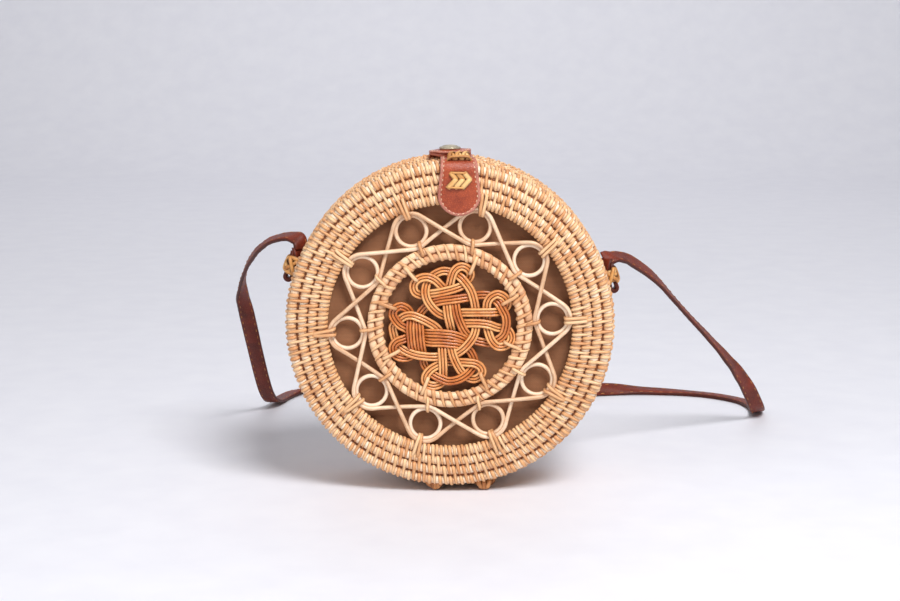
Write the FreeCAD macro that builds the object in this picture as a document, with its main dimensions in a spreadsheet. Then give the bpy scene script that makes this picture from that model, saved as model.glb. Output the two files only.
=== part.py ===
import FreeCAD, Part
import math
import os

import Sketcher
from FreeCAD import Placement, Rotation, Vector

# Round rattan shoulder bag: two coiled half shells, hinged at the bottom and closed by a snap strap.
# Millimetres. X to the right, Y from the face to the back, Z up. The seam lies in the plane Y = 0,
# and the bag stands on the lashings of its hinges at Z = 0.

doc = FreeCAD.newDocument("round_rattan_bag")

# Driving dimensions
SIZES = [
    ("outer_radius", 100.0, "outside radius of both half shells"),
    ("coil_dia", 5.9, "rattan coil row, which is also the row spacing"),
    ("coil_bite", 0.2, "how far rows of one piece press into each other"),
    ("wall_rows", 5, "rows in the side wall of one half, without its edge row"),
    ("seam_gap", 0.8, "gap between the two halves"),
    ("edge_set_in", 1.2, "the edge row lies this much nearer the axis than the wall"),
    ("edge_draw", 0.1, "the edge row is drawn this much towards the wall"),
    ("face_step", 1.0, "the face rows stand this far outside the edge row"),
    ("row_clearance", 0.2, "extra spacing between the edge row and the face rows"),
    ("border_rows", 3, "rows of the face border inside the edge row"),
    ("ring_share", 0.41, "inside of the small ring on the face, as a share of the outside radius"),
    ("ring_row_dia", 4.6, "coil row of the small ring"),
    ("cane_dia", 2.6, "cane of the scroll work"),
    ("cane_clearance", 0.12, "gap between canes, and from canes to the coils"),
    ("wave_lead", 1.3, "a wavy cane runs this far outside the ring that it passes"),
    ("scroll_count", 10, "rings in the scroll work"),
    ("scroll_first_angle", 14.0, "first ring, degrees clockwise from the top"),
    ("strip_width", 2.4, "rattan strip used for lashings"),
    ("strip_thickness", 0.75, "the same strip's thickness"),
    ("tie_width", 2.0, "rattan strip of a scroll tie"),
    ("tie_spread", 1.2, "half the distance between the two ties of one ring"),
    ("tie_shift", 0.15, "outer ties sit this far round from the middle, as a share of the ring's hole"),
    ("tie_shift_in", 0.18, "the same for the inner ties"),
    ("tie_slack", 0.2, "room between a tie and what it holds"),
    ("knot_layer", 2.2, "thickness of one layer of the knot"),
    ("knot_layer_gap", 0.1, "gap between the knot's layers"),
    ("knot_band", 0.156, "knot band of three strands; this and the next are shares of the ring's inside"),
    ("knot_reach", 0.585, "half length of a knot band"),
    ("knot_bar_height", 0.488, "knot crossbar, from the centre"),
    ("knot_ear_side", 0.305, "ear centre, sideways from its arm's middle"),
    ("knot_ear_height", 0.671, "ear centre, out along its arm"),
    ("knot_ear_radius", 0.190, "outside of an ear"),
    ("knot_ear_hole", 0.078, "inside of an ear"),
    ("knot_arch_height", 0.427, "centre of the arch round an arm"),
    ("knot_arch_radius", 0.378, "outside of that arch"),
    ("knot_arch_width", 0.134, "width of the arch band"),
    ("lining_thickness", 1.0, "cloth lining"),
    ("lining_gap", 0.95, "from the coils to the lining, where the tie ends lie"),
    ("lining_edge", 2.0, "the lining stops this far from the seam"),
    ("lining_set_back", 5.6, "front lining behind the middle of the face rows"),
    ("leather", 1.8, "thickness of tab and closing strap"),
    ("fit", 0.15, "gap where a piece lies on the coils"),
    ("tab_width", 25.8, "leather tab on the face"),
    ("tab_drop", 31.5, "tab on the face, down from the bag's top"),
    ("tab_offset", 5.5, "tab centre, right of the middle"),
    ("tab_bend", 6.0, "inside radius of the tab's bend"),
    ("tab_corner", 12.7, "rounding of the tab's lower end"),
    ("tab_back_end", 5.0, "the tab's upper end, in front of the seam"),
    ("closure_width", 25.8, "closing strap"),
    ("closure_line", 4.4, "line where the closing strap bends, behind the seam"),
    ("closure_base_length", 19.0, "closing strap behind that line"),
    ("closure_reach", 22.0, "free end of the closing strap, in front of the seam"),
    ("closure_ramp_end", 4.0, "the closing strap is level from here, in front of the seam"),
    ("closure_corner", 11.0, "rounding of the closing strap's free end"),
    ("snap_depth", 13.0, "snap centre, in front of the seam"),
    ("snap_space", 2.4, "height between tab and closing strap at the snap"),
    ("snap_flange_radius", 4.2, "stud flange"),
    ("snap_flange", 0.8, "stud flange thickness"),
    ("snap_post_radius", 2.0, "stud post"),
    ("snap_slack", 0.2, "play between stud and socket"),
    ("snap_socket_radius", 4.6, "socket outside"),
    ("snap_socket_depth", 1.4, "socket below the closing strap"),
    ("snap_cap_radius", 6.5, "cap outside"),
    ("snap_cap_rim", 0.6, "straight rim of the cap"),
    ("snap_cap_dome", 1.9, "height of the cap's dome"),
    ("snap_stem_radius", 2.5, "stem of the cap in the leather"),
    ("hinge_left", -9.0, "left hinge, from the middle"),
    ("hinge_right", 21.0, "right hinge, from the middle"),
    ("hinge_drop", 1.7, "hinge axis below the wall"),
    ("hinge_knuckle", 1.5, "radius of a hinge eye"),
    ("hinge_pin", 0.75, "radius of a hinge pin"),
    ("hinge_play", 0.08, "running clearance of the pin in the moving eye"),
    ("hinge_eye", 4.4, "width of the moving eye"),
    ("hinge_side", 2.6, "width of each still eye"),
    ("hinge_gap", 0.2, "gap between eyes"),
    ("hinge_strap", 1.0, "thickness of a hinge strap"),
    ("foot_depth", 29.0, "foot lashing, from the seam"),
    ("foot_length", 7.0, "foot lashing along the bag's depth"),
    ("foot_width", 12.0, "foot lashing across"),
    ("foot_drop", 3.5, "foot lashings reach this far below the wall"),
    ("foot_rise", 8.0, "foot lashing before it is cut to the wall"),
    ("foot_edge", 1.6, "bevel of a foot"),
    ("strap_width", 10.8, "shoulder strap"),
    ("strap_thickness", 2.4, "shoulder strap leather"),
    ("anchor_depth", 12.2, "strap ends behind the seam, between two gaps of the wall rows"),
    ("anchor_left_angle", -70.0, "left strap end, degrees clockwise from the top"),
    ("anchor_right_angle", 74.0, "right strap end"),
    ("anchor_up", 6.0, "strap end above its lashing"),
    ("anchor_down", 10.0, "strap end below its lashing, to the middle of its eye"),
    ("anchor_eye", 3.6, "outside radius of the folded eye"),
    ("anchor_eye_hole", 1.5, "hole in the eye"),
    ("lash_pitch", 2.9, "spacing of lashing turns"),
]
sheet = doc.addObject("Spreadsheet::Sheet", "Sizes")
for row, (alias, size, note) in enumerate(SIZES, 1):
    sheet.set("A%d" % row, note)
    sheet.set("B%d" % row, str(size))
    sheet.setAlias("B%d" % row, alias)
doc.recompute()


def size(text):
    """Expression text with each <name> read from the sheet; <<name>> is a share of the small ring's inside."""
    for alias in (entry[0] for entry in SIZES):
        text = text.replace("<<%s>>" % alias, "(Sizes.%s*Sizes.ring_share*Sizes.outer_radius)" % alias)
        text = text.replace("<%s>" % alias, "Sizes.%s" % alias)
    return text


def num(text):
    """Value of an expression."""
    value = sheet.evalExpression(size(str(text)))
    return float(getattr(value, "Value", value))


def bind(thing, sizes):
    for prop, text in sizes.items():
        thing.setExpression(prop, size(str(text)))


# Derived places, as expressions of the driving sizes
TUBE = "(<coil_dia>/2 + <coil_bite>/2)"
WALL_ROW_RADIUS = "(<outer_radius> - <coil_dia>/2)"
WALL_OUT = "(<outer_radius> + <coil_bite>/2)"
WALL_IN = "(<outer_radius> - <coil_dia> - <coil_bite>/2)"
EDGE_RADIUS = "(%s - <edge_set_in>)" % WALL_ROW_RADIUS
LAST_WALL = "(<seam_gap>/2 + <coil_dia>/2 + (<wall_rows> - 1)*<coil_dia>)"
EDGE_DEPTH = "(%s + <coil_dia> - <edge_draw>)" % LAST_WALL
FACE_DEPTH = "(%s + <face_step>)" % EDGE_DEPTH
FACE_OUT = "(%s + %s)" % (FACE_DEPTH, TUBE)
FACE_ROW = "(%s - <coil_dia> - <row_clearance>)" % EDGE_RADIUS
BORDER_IN = "(%s - (<border_rows> - 1)*<coil_dia> - %s)" % (FACE_ROW, TUBE)
RING_IN = "(<ring_share>*<outer_radius>)"
RING_OUT = "(%s + 2*<ring_row_dia>)" % RING_IN
SCROLL_RADIUS = "((%s + %s)/2)" % (BORDER_IN, RING_OUT)
WAVE_RADIUS = "((%s - %s)/2 - <cane_dia>/2 - <cane_clearance>)" % (BORDER_IN, RING_OUT)
LOOP_RADIUS = "(%s - <wave_lead>)" % WAVE_RADIUS
CANE_LAYER = "sqrt((<cane_dia> + <cane_clearance>)^2 - <wave_lead>^2)"
AXIS_HEIGHT = "(<outer_radius> + <foot_drop>)"
TOP = "(%s + <fit>)" % WALL_OUT
LINING_RADIUS = "(%s - <lining_gap>)" % WALL_IN
LASH_IN = "(%s - <tie_slack>/2)" % WALL_IN
ROW_HALF = "((<coil_dia> - <strip_thickness>)/2)"
FLAP_LOW = "(%s + <leather> + <snap_space>)" % TOP
HINGE_RADIUS = "(<outer_radius> + <hinge_drop>)"

Y_AXIS = Vector(0, 1, 0)
ALONG_Y = Rotation(Vector(1, 0, 0), -90)
nodes = []


def node(thing, label):
    """Names a finished sub-part and stands it on its feet."""
    thing.Label = label
    thing.setExpression("Placement.Base.z", size(AXIS_HEIGHT))
    nodes.append(thing)
    return thing


def add(kind, name, sizes):
    thing = doc.addObject(kind, name)
    bind(thing, sizes)
    return thing


def torus(name, radius, tube, depth):
    """Closed round row about the bag's axis."""
    ring = add("Part::Torus", name, {"Radius1": radius, "Radius2": tube})
    ring.Placement = Placement(Vector(), ALONG_Y)
    ring.setExpression("Placement.Base.y", size(depth))
    return ring


def round_bar(name, radius, start, length, x="0", z="0"):
    """Cylinder along the bag's depth."""
    bar = add("Part::Cylinder", name, {"Radius": radius, "Height": length})
    bar.Placement = Placement(Vector(), ALONG_Y)
    bind(bar, {"Placement.Base.x": x, "Placement.Base.y": start, "Placement.Base.z": z})
    return bar


def block(name, x, y, z, width, depth, height):
    """Box given by its low corner and its three sides."""
    box = add("Part::Box", name, {"Length": width, "Width": depth, "Height": height})
    bind(box, {"Placement.Base.x": x, "Placement.Base.y": y, "Placement.Base.z": z})
    return box


def fuse(name, members):
    joined = doc.addObject("Part::MultiFuse", name)
    joined.Shapes = members
    return joined


def cut(name, base, tool):
    rest = doc.addObject("Part::Cut", name)
    rest.Base = base
    rest.Tool = tool
    return rest


def group(name, members):
    """Separate solids that share one node."""
    together = doc.addObject("Part::Compound", name)
    together.Links = members
    return together


def turned(thing, angle):
    """Turns a piece about the bag's axis, clockwise as seen from the front."""
    thing.Placement = Placement(Vector(), Rotation(Y_AXIS, angle))
    return thing


def lash(name, angle, inner, outer, depth, half, offset="0", width="<strip_width>"):
    """Strip bent to a loop: it runs between two radii and reaches half each side of a depth."""
    tall = "(%s) - (%s)" % (outer, inner)
    whole = block(
        name + "_out",
        "(%s) - (%s)/2" % (offset, width),
        "(%s) - (%s) - <strip_thickness>" % (depth, half),
        "(%s) - <strip_thickness>" % inner,
        width,
        "2*(%s) + 2*<strip_thickness>" % half,
        "%s + 2*<strip_thickness>" % tall,
    )
    hole = block(
        name + "_in",
        "(%s) - (%s)" % (offset, width),
        "(%s) - (%s)" % (depth, half),
        inner,
        "2*(%s)" % width,
        "2*(%s)" % half,
        tall,
    )
    return turned(cut(name, whole, hole), angle)


def coil_wall(side, label):
    """Side wall of one half: its rows and its edge row."""
    rows = []
    for k in range(int(num("<wall_rows>"))):
        depth = "%d*(<seam_gap>/2 + <coil_dia>/2 + %d*<coil_dia>)" % (side, k)
        rows.append(torus("%s_row_%d" % (label, k), WALL_ROW_RADIUS, TUBE, depth))
    rows.append(torus(label + "_edge", EDGE_RADIUS, TUBE, "%d*%s" % (side, EDGE_DEPTH)))
    return node(fuse(label, rows), label)


def face_rows(label, side, count):
    rows = []
    for k in range(count):
        radius = "%s - %d*<coil_dia>" % (FACE_ROW, k)
        rows.append(torus("%s_row_%d" % (label, k), radius, TUBE, "%d*%s" % (side, FACE_DEPTH)))
    return rows


def coil_border():
    rows = face_rows("border", -1, int(num("<border_rows>")))
    return node(fuse("front_coil_border", rows), "front_coil_border")


def coil_disc():
    """Closed back: rows from the edge to a button in the middle."""
    count = int((num(FACE_ROW) - num("<coil_dia>")) // num("<coil_dia>")) + 1
    rows = face_rows("disc", 1, count)
    button = add("Part::Ellipsoid", "disc_button", {
        "Radius1": TUBE,
        "Radius2": "%s - %d*<coil_dia> - <coil_dia>/2 + <coil_bite>" % (FACE_ROW, count - 1),
        "Radius3": "%s - %d*<coil_dia> - <coil_dia>/2 + <coil_bite>" % (FACE_ROW, count - 1),
    })
    button.Placement = Placement(Vector(), ALONG_Y)
    button.setExpression("Placement.Base.y", size(FACE_DEPTH))
    return node(fuse("back_coil_disc", rows + [button]), "back_coil_disc")


def inner_ring():
    rows = []
    for k in range(2):
        radius = "%s + (%d + 0.5)*<ring_row_dia>" % (RING_IN, k)
        tube = "<ring_row_dia>/2 + <coil_bite>/2"
        rows.append(torus("ring_row_%d" % k, radius, tube, "-" + FACE_DEPTH))
    return node(fuse("inner_ring", rows), "inner_ring")


def linings():
    """Cloth inside both halves: a sleeve in each wall and a disc at each end."""
    for side, label, face in (
        (-1, "front", "(%s - <lining_set_back>)" % FACE_DEPTH),
        (1, "back", "(%s - %s - <fit>)" % (FACE_DEPTH, TUBE)),
    ):
        length = "%s - <lining_thickness> - <fit> - <lining_edge>" % face
        low = "<lining_edge>" if side > 0 else "-<lining_edge> - (%s)" % length
        sleeve = round_bar(label + "_sleeve_out", LINING_RADIUS, low, length)
        space = round_bar(label + "_sleeve_in", LINING_RADIUS + " - <lining_thickness>", low, length)
        node(cut(label + "_lining_wall", sleeve, space), label + "_lining_wall")
        start = "%s - <lining_thickness>" % face if side > 0 else "-" + face
        disc = round_bar(label + "_lining_disc", LINING_RADIUS, start, "<lining_thickness>")
        node(disc, label + "_lining_disc")


def scroll_angle(k):
    return num("<scroll_first_angle>") + 360.0 * k / num("<scroll_count>")


def polar(radius, angle, depth):
    turn = math.radians(angle)
    return Vector(radius * math.sin(turn), depth, radius * math.cos(turn))


def scroll_rings():
    rings = []
    for k in range(int(num("<scroll_count>"))):
        ring = add("Part::Torus", "scroll_ring_%d" % k, {"Radius1": LOOP_RADIUS, "Radius2": "<cane_dia>/2"})
        ring.Placement = Placement(Vector(), ALONG_Y)
        place = "%s(<scroll_first_angle> * 1 deg + 360 deg * %d / <scroll_count>)"
        bind(ring, {
            "Placement.Base.x": SCROLL_RADIUS + " * " + place % ("sin", k),
            "Placement.Base.y": "-" + FACE_DEPTH,
            "Placement.Base.z": SCROLL_RADIUS + " * " + place % ("cos", k),
        })
        rings.append(ring)
    node(group("scroll_rings", rings), "scroll_rings")


def wave_wire(first_side, depth):
    """Closed line that passes the rings outside and inside by turns, arcs joined by straight runs."""
    count = int(num("<scroll_count>"))
    wave = num(WAVE_RADIUS)
    centres = [polar(num(SCROLL_RADIUS), scroll_angle(k), depth) for k in range(count)]
    outward = [polar(1.0, scroll_angle(k), 0.0) for k in range(count)]
    leads = []
    for k in range(count):
        along = centres[(k + 1) % count] - centres[k]
        lean = math.acos(2 * wave / along.Length)
        along.normalize()
        across = along.cross(Y_AXIS)
        across = across if across.dot(outward[k]) > 0 else across * -1
        side = first_side if k % 2 == 0 else -first_side
        leads.append(along * math.cos(lean) + across * (side * math.sin(lean)))
    edges = []
    for k in range(count):
        side = first_side if k % 2 == 0 else -first_side
        arrive = centres[k] - leads[k - 1] * wave
        leave = centres[k] + leads[k] * wave
        middle = centres[k] + outward[k] * (side * wave)
        onward = centres[(k + 1) % count] - leads[k] * wave
        edges.append(Part.Arc(arrive, middle, leave).toShape())
        edges.append(Part.LineSegment(leave, onward).toShape())
    return Part.Wire(edges)


def sweep(wire, radius):
    """Round bar along a wire of lines and arcs."""
    edge = wire.OrderedEdges[0]
    start = edge.valueAt(edge.FirstParameter)
    heading = edge.tangentAt(edge.FirstParameter)
    section = Part.Wire(Part.makeCircle(radius, start, heading))
    return wire.makePipeShell([section], True, False)


def wave_cane(label, first_side, layer):
    """Wavy cane, set by code because its arcs and tangent runs follow from the rings' places."""
    depth = -num(FACE_DEPTH) + layer * num(CANE_LAYER)
    wire = wave_wire(first_side, depth)
    cane = doc.addObject("Part::Feature", label)
    cane.Shape = sweep(wire, num("<cane_dia>/2"))
    ideal = math.pi * num("<cane_dia>/2") ** 2 * wire.Length
    print("%s length %.1f, volume share %.4f" % (label, wire.Length, cane.Shape.Volume / ideal))
    node(cane, label)


def scroll_ties():
    """Two loops hold each ring to the border, and one holds it to the small ring."""
    half = "%s + <cane_dia>/2 + <tie_slack>" % CANE_LAYER
    hole = "(%s - <cane_dia>/2)" % LOOP_RADIUS
    far_corner = "(<tie_shift>*%s + <tie_spread> + <tie_width>/2)" % hole
    near_corner = "(<tie_shift_in>*%s + <tie_width>/2)" % hole
    inside = "%s + sqrt(%s^2 - %s^2) - <tie_slack>" % (SCROLL_RADIUS, hole, far_corner)
    between = "%s + <coil_dia> - <strip_thickness>/2 + <coil_bite>/2" % BORDER_IN
    outside = "%s - sqrt(%s^2 - %s^2) + <tie_slack>" % (SCROLL_RADIUS, hole, near_corner)
    ring_mid = "%s + <ring_row_dia> + <strip_thickness>/2" % RING_IN
    outer, inner = [], []
    for k in range(int(num("<scroll_count>"))):
        for side, name in ((-1, "a"), (1, "b")):
            offset = "<tie_shift>*%s + %d*<tie_spread>" % (hole, side)
            place = (scroll_angle(k), inside, between, "-" + FACE_DEPTH, half)
            outer.append(lash("tie_%d%s" % (k, name), *place, offset, "<tie_width>"))
        offset = "<tie_shift_in>*%s" % hole
        place = (scroll_angle(k), ring_mid, outside, "-" + FACE_DEPTH, half)
        inner.append(lash("tie_in_%d" % k, *place, offset, "<tie_width>"))
    node(group("scroll_ties_outer", outer), "scroll_ties_outer")
    node(group("scroll_ties_inner", inner), "scroll_ties_inner")


def knot_layer_start(layer):
    return "-%s + %d*(<knot_layer> + <knot_layer_gap>) - <knot_layer>/2" % (FACE_DEPTH, layer)


def ring_plate(name, outer, inner, start, x, z):
    return cut(
        name,
        round_bar(name + "_out", outer, start, "<knot_layer>", x, z),
        round_bar(name + "_in", inner, start, "<knot_layer>", x, z),
    )


def knot_band(label, layer, angle):
    """Double band with a crossbar and two ears at each end."""
    start = knot_layer_start(layer)
    legs = block(
        label + "_legs", "-<<knot_band>>", start, "-<<knot_reach>>",
        "2*<<knot_band>>", "<knot_layer>", "2*<<knot_reach>>",
    )
    bars = []
    ears = []
    for up in (-1, 1):
        low = "%d*<<knot_bar_height>> - <<knot_band>>/2" % up
        bars.append(block(
            "%s_bar_%d" % (label, up), "-<<knot_ear_side>>", start, low,
            "2*<<knot_ear_side>>", "<knot_layer>", "<<knot_band>>",
        ))
        for side in (-1, 1):
            ears.append(ring_plate(
                "%s_ear_%d_%d" % (label, up, side), "<<knot_ear_radius>>", "<<knot_ear_hole>>", start,
                "%d*<<knot_ear_side>>" % side, "%d*<<knot_ear_height>>" % up,
            ))
    node(turned(fuse(label, [legs] + bars + ears), angle), label)


def knot_arches(layer):
    """Four crossing arches, one round each arm of the knot."""
    start = knot_layer_start(layer)
    arches = []
    for k, (right, up) in enumerate(((0, 1), (1, 0), (0, -1), (-1, 0))):
        arches.append(ring_plate(
            "knot_arch_%d" % k, "<<knot_arch_radius>>", "<<knot_arch_radius>> - <<knot_arch_width>>", start,
            "%d*<<knot_arch_height>>" % right, "%d*<<knot_arch_height>>" % up,
        ))
    node(fuse("knot_arches", arches), "knot_arches")


def knot_ties():
    ear_out = "sqrt(<<knot_ear_side>>^2 + <<knot_ear_height>>^2)"
    inside = "%s + <<knot_ear_hole>> - 2*<tie_slack>" % ear_out
    ring_mid = "%s + <ring_row_dia> - <strip_thickness>/2" % RING_IN
    half = "1.5*<knot_layer> + <knot_layer_gap> + <tie_slack>"
    swing = math.degrees(math.atan2(num("<<knot_ear_side>>"), num("<<knot_ear_height>>")))
    ties = []
    for arm in range(4):
        for side in (-1, 1):
            name = "knot_tie_%d_%s" % (arm, "a" if side < 0 else "b")
            ties.append(lash(name, 90 * arm + side * swing, inside, ring_mid, "-" + FACE_DEPTH, half))
    node(group("knot_ties", ties), "knot_ties")


def edges_at(shape, direction, test):
    """Names of the straight edges along a direction whose middle passes a test."""
    names = []
    for k, edge in enumerate(shape.Edges, 1):
        straight = edge.Curve.TypeId == "Part::GeomLine"
        if straight and abs(edge.tangentAt(edge.FirstParameter).dot(direction)) > 0.99:
            if test(edge.CenterOfMass):
                names.append(k)
    return names


def rounded(name, base, direction, test, radius):
    """Rounds the chosen straight edges of a block."""
    doc.recompute()
    fillet = doc.addObject("Part::Fillet", name)
    fillet.Base = base
    reach = num(radius)
    fillet.Edges = [(k, reach, reach) for k in edges_at(base.Shape, direction, test)]
    return fillet


def front_tab():
    """Leather tab: a leaf down the face, a bend over the edge and a leaf along the top."""
    back = "-%s - <fit>" % FACE_OUT
    left = "<tab_offset> - <tab_width>/2"
    bend_y = "%s + <tab_bend>" % back
    bend_z = "%s - <tab_bend>" % TOP
    low = "<outer_radius> - <tab_drop>"
    leaf = block(
        "tab_leaf", left, "%s - <leather>" % back, low,
        "<tab_width>", "<leather>", "%s - (%s)" % (bend_z, low),
    )
    lower = num(low) + num("<fit>")
    corner = "min(<tab_corner>; <tab_width>/2 - <fit>)"
    leaf = rounded("tab_leaf_round", leaf, Y_AXIS, lambda p: p.z < lower, corner)
    bends = []
    for name, radius in (("tab_bend_out", "<tab_bend> + <leather>"), ("tab_bend_in", "<tab_bend>")):
        bend = add("Part::Cylinder", name, {"Radius": radius, "Height": "<tab_width>", "Angle": "90"})
        turn = Rotation(Vector(0, 0, 1), Vector(0, -1, 0), Vector(1, 0, 0), "ZXY")
        bend.Placement = Placement(Vector(), turn)
        bind(bend, {"Placement.Base.x": left, "Placement.Base.y": bend_y, "Placement.Base.z": bend_z})
        bends.append(bend)
    top = block(
        "tab_top", left, bend_y, TOP, "<tab_width>", "-(%s) - <tab_back_end>" % bend_y, "<leather>",
    )
    node(fuse("front_tab", [leaf, cut("tab_bend", bends[0], bends[1]), top]), "front_tab")


def tab_lashings():
    """Strips that tie the tab to the face rows below and to the edge above."""
    low = "%s - <coil_dia>/2" % FACE_ROW
    high = "%s + <coil_dia>/2 - <strip_thickness>/2" % FACE_ROW
    front = "-%s - <fit> - <leather> - <tie_slack>/2" % FACE_OUT
    rear = "-%s + %s + <tie_slack>" % (FACE_DEPTH, TUBE)
    middle = "((%s) + (%s))/2" % (front, rear)
    half = "((%s) - (%s))/2" % (rear, front)
    lower, upper = [], []
    for k in (-1, 0, 1):
        offset = "<tab_offset> + %d*1.4*<lash_pitch>" % k
        lower.append(lash("tab_tie_low_%d" % k, 0, low, high, middle, half, offset))
        depth = "-%s" % LAST_WALL
        over = "%s + <leather> + <tie_slack>/2" % TOP
        upper.append(lash("tab_tie_high_%d" % k, 0, LASH_IN, over, depth, ROW_HALF, offset))
    node(group("tab_lashing_lower", lower), "tab_lashing_lower")
    node(group("tab_lashing_upper", upper), "tab_lashing_upper")


def closure():
    """Closing strap: a base tied to the back half, and a flap that bends up along a line."""
    half = "<closure_width>/2"
    base = block(
        "closure_base_block", "-" + half, "<closure_line> + <fit>", TOP,
        "<closure_width>", "<closure_base_length>", "<leather>",
    )
    end = num("<closure_line> + <closure_base_length>")
    corner = "min(<closure_corner>; <closure_width>/2 - <fit>)"
    base = rounded("closure_base", base, Vector(0, 0, 1), lambda p: p.y > end, corner)
    node(base, "closure_base")
    ties = []
    for k in (-1, 0, 1):
        depth = "<seam_gap>/2 + 2.5*<coil_dia>"
        over = "%s + <leather> + <tie_slack>/2" % TOP
        ties.append(lash("closure_tie_%d" % k, 0, LASH_IN, over, depth, ROW_HALF, "%d*2*<lash_pitch>" % k))
    node(group("closure_lashing", ties), "closure_lashing")

    body = doc.addObject("PartDesign::Body", "closure_strap")
    rise = "(<leather> + <snap_space>)"
    tail = "(<closure_reach> + <closure_line> + <lining_edge>)"
    ramp = "(<closure_reach> - <closure_ramp_end> + <lining_edge>)"
    free = "<lining_edge>"
    base_low = "<leather>"
    corners = [
        (free, "%s + %s" % (base_low, rise)),
        (ramp, "%s + %s" % (base_low, rise)),
        (tail, base_low),
        (tail, "%s + <leather>" % base_low),
        (ramp, "%s + %s + <leather>" % (base_low, rise)),
        (free, "%s + %s + <leather>" % (base_low, rise)),
    ]
    sketch = polygon(body, "closure_profile", "YZ_Plane", corners)
    pad = body.newObject("PartDesign::Pad", "closure_pad")
    pad.Profile = sketch
    bind(pad, {"Length": "<closure_width>"})
    doc.recompute()
    forward = num(free) + num("<fit>")
    names = edges_at(pad.Shape, Vector(0, 0, 1), lambda p: p.y < forward)
    round_end = body.newObject("PartDesign::Fillet", "closure_round")
    round_end.Base = (pad, ["Edge%d" % k for k in names])
    bind(round_end, {"Radius": corner})
    hole_sketch = body.newObject("Sketcher::SketchObject", "closure_hole_sketch")
    attach(body, hole_sketch, "XY_Plane")
    hole_sketch.addGeometry(Part.Circle(Vector(1, 1, 0), Vector(0, 0, 1), num("<snap_stem_radius>")), False)
    place_point(hole_sketch, 0, 3, half, "<closure_reach> - <snap_depth> + <lining_edge>")
    radius = hole_sketch.addConstraint(Sketcher.Constraint("Radius", 0, num("<snap_stem_radius>")))
    hole_sketch.setExpression("Constraints[%d]" % radius, size("<snap_stem_radius> + <fit>"))
    hole = body.newObject("PartDesign::Pocket", "closure_hole")
    hole.Profile = hole_sketch
    hole.Type = "ThroughAll"
    hole.Reversed = True
    doc.recompute()
    print("snap hole removes %.2f" % (round_end.Shape.Volume - hole.Shape.Volume))
    node(body, "closure_strap")
    bind(body, {
        "Placement.Base.x": "-" + half,
        "Placement.Base.y": "-<closure_reach> - <lining_edge>",
        "Placement.Base.z": "%s + %s - <leather>" % (AXIS_HEIGHT, TOP),
    })


def attach(body, sketch, role):
    plane = [part for part in body.Origin.OriginFeatures if part.Role == role][0]
    sketch.AttachmentSupport = [(plane, "")]
    sketch.MapMode = "FlatFace"


def place_point(sketch, line, end, across, up):
    """Ties one point of a sketch to its two distances from the origin."""
    for kind, text in (("DistanceX", across), ("DistanceY", up)):
        index = sketch.addConstraint(Sketcher.Constraint(kind, -1, 1, line, end, num(text)))
        sketch.setExpression("Constraints[%d]" % index, size(text))


def polygon(body, name, role, corners):
    """Closed outline of straight lines whose corners are tied to the sheet."""
    sketch = body.newObject("Sketcher::SketchObject", name)
    attach(body, sketch, role)
    points = [Vector(num(across), num(up), 0) for across, up in corners]
    count = len(points)
    for k in range(count):
        sketch.addGeometry(Part.LineSegment(points[k], points[(k + 1) % count]), False)
    for k in range(count):
        sketch.addConstraint(Sketcher.Constraint("Coincident", k, 2, (k + 1) % count, 1))
    for k, (across, up) in enumerate(corners):
        place_point(sketch, k, 1, across, up)
    return sketch


def snap_disc(name, radius, height, low):
    """Round metal piece on the snap's own axis."""
    disc = add("Part::Cylinder", name, {"Radius": radius, "Height": height})
    bind(disc, {"Placement.Base.y": "-<snap_depth>", "Placement.Base.z": low})
    return disc


def snap():
    """Snap fastener: stud on the tab, socket and cap on the closing strap."""
    seat = "%s + <leather>" % TOP
    flange = snap_disc("stud_flange", "<snap_flange_radius>", "<snap_flange>", seat)
    post = snap_disc("stud_post", "<snap_post_radius>", "<snap_space> - <snap_slack>", seat)
    node(fuse("snap_stud", [flange, post]), "snap_stud")
    low = "%s - <snap_socket_depth>" % FLAP_LOW
    shell = snap_disc("socket_out", "<snap_socket_radius>", "<snap_socket_depth>", low)
    space = snap_disc("socket_in", "<snap_post_radius> + <snap_slack>", "<snap_socket_depth>", low)
    node(cut("snap_socket", shell, space), "snap_socket")
    high = "%s + <leather>" % FLAP_LOW
    rim = snap_disc("cap_rim", "<snap_cap_radius>", "<snap_cap_rim>", high)
    dome = add("Part::Ellipsoid", "cap_dome", {
        "Radius1": "<snap_cap_dome>",
        "Radius2": "<snap_cap_radius>",
        "Radius3": "<snap_cap_radius>",
        "Angle1": "0",
        "Placement.Base.y": "-<snap_depth>",
        "Placement.Base.z": "%s + <snap_cap_rim>" % high,
    })
    stem = snap_disc("cap_stem", "<snap_stem_radius>", "<leather>", FLAP_LOW)
    node(fuse("snap_cap", [rim, dome, stem]), "snap_cap")


def across_bar(name, radius, x, length):
    """Cylinder along the hinge line."""
    bar = add("Part::Cylinder", name, {"Radius": radius, "Height": length})
    bar.Placement = Placement(Vector(), Rotation(Y_AXIS, 90))
    bind(bar, {"Placement.Base.x": x, "Placement.Base.z": "-" + HINGE_RADIUS})
    return bar


def hinge_strap(name, x, width, side, bore):
    """Eye round the pin and a strap along the wall to its foot lashing."""
    eye = across_bar(name + "_eye", "<hinge_knuckle>", x, width)
    reach = "<foot_depth>"
    low = reach if side < 0 else "0"
    leaf = block(
        name + "_leaf", x, "-(%s)" % low, "-%s" % HINGE_RADIUS,
        width, reach, "<hinge_strap>",
    )
    hole = across_bar(name + "_bore", bore, x, width)
    return cut(name, fuse(name + "_solid", [eye, leaf]), hole)


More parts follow.
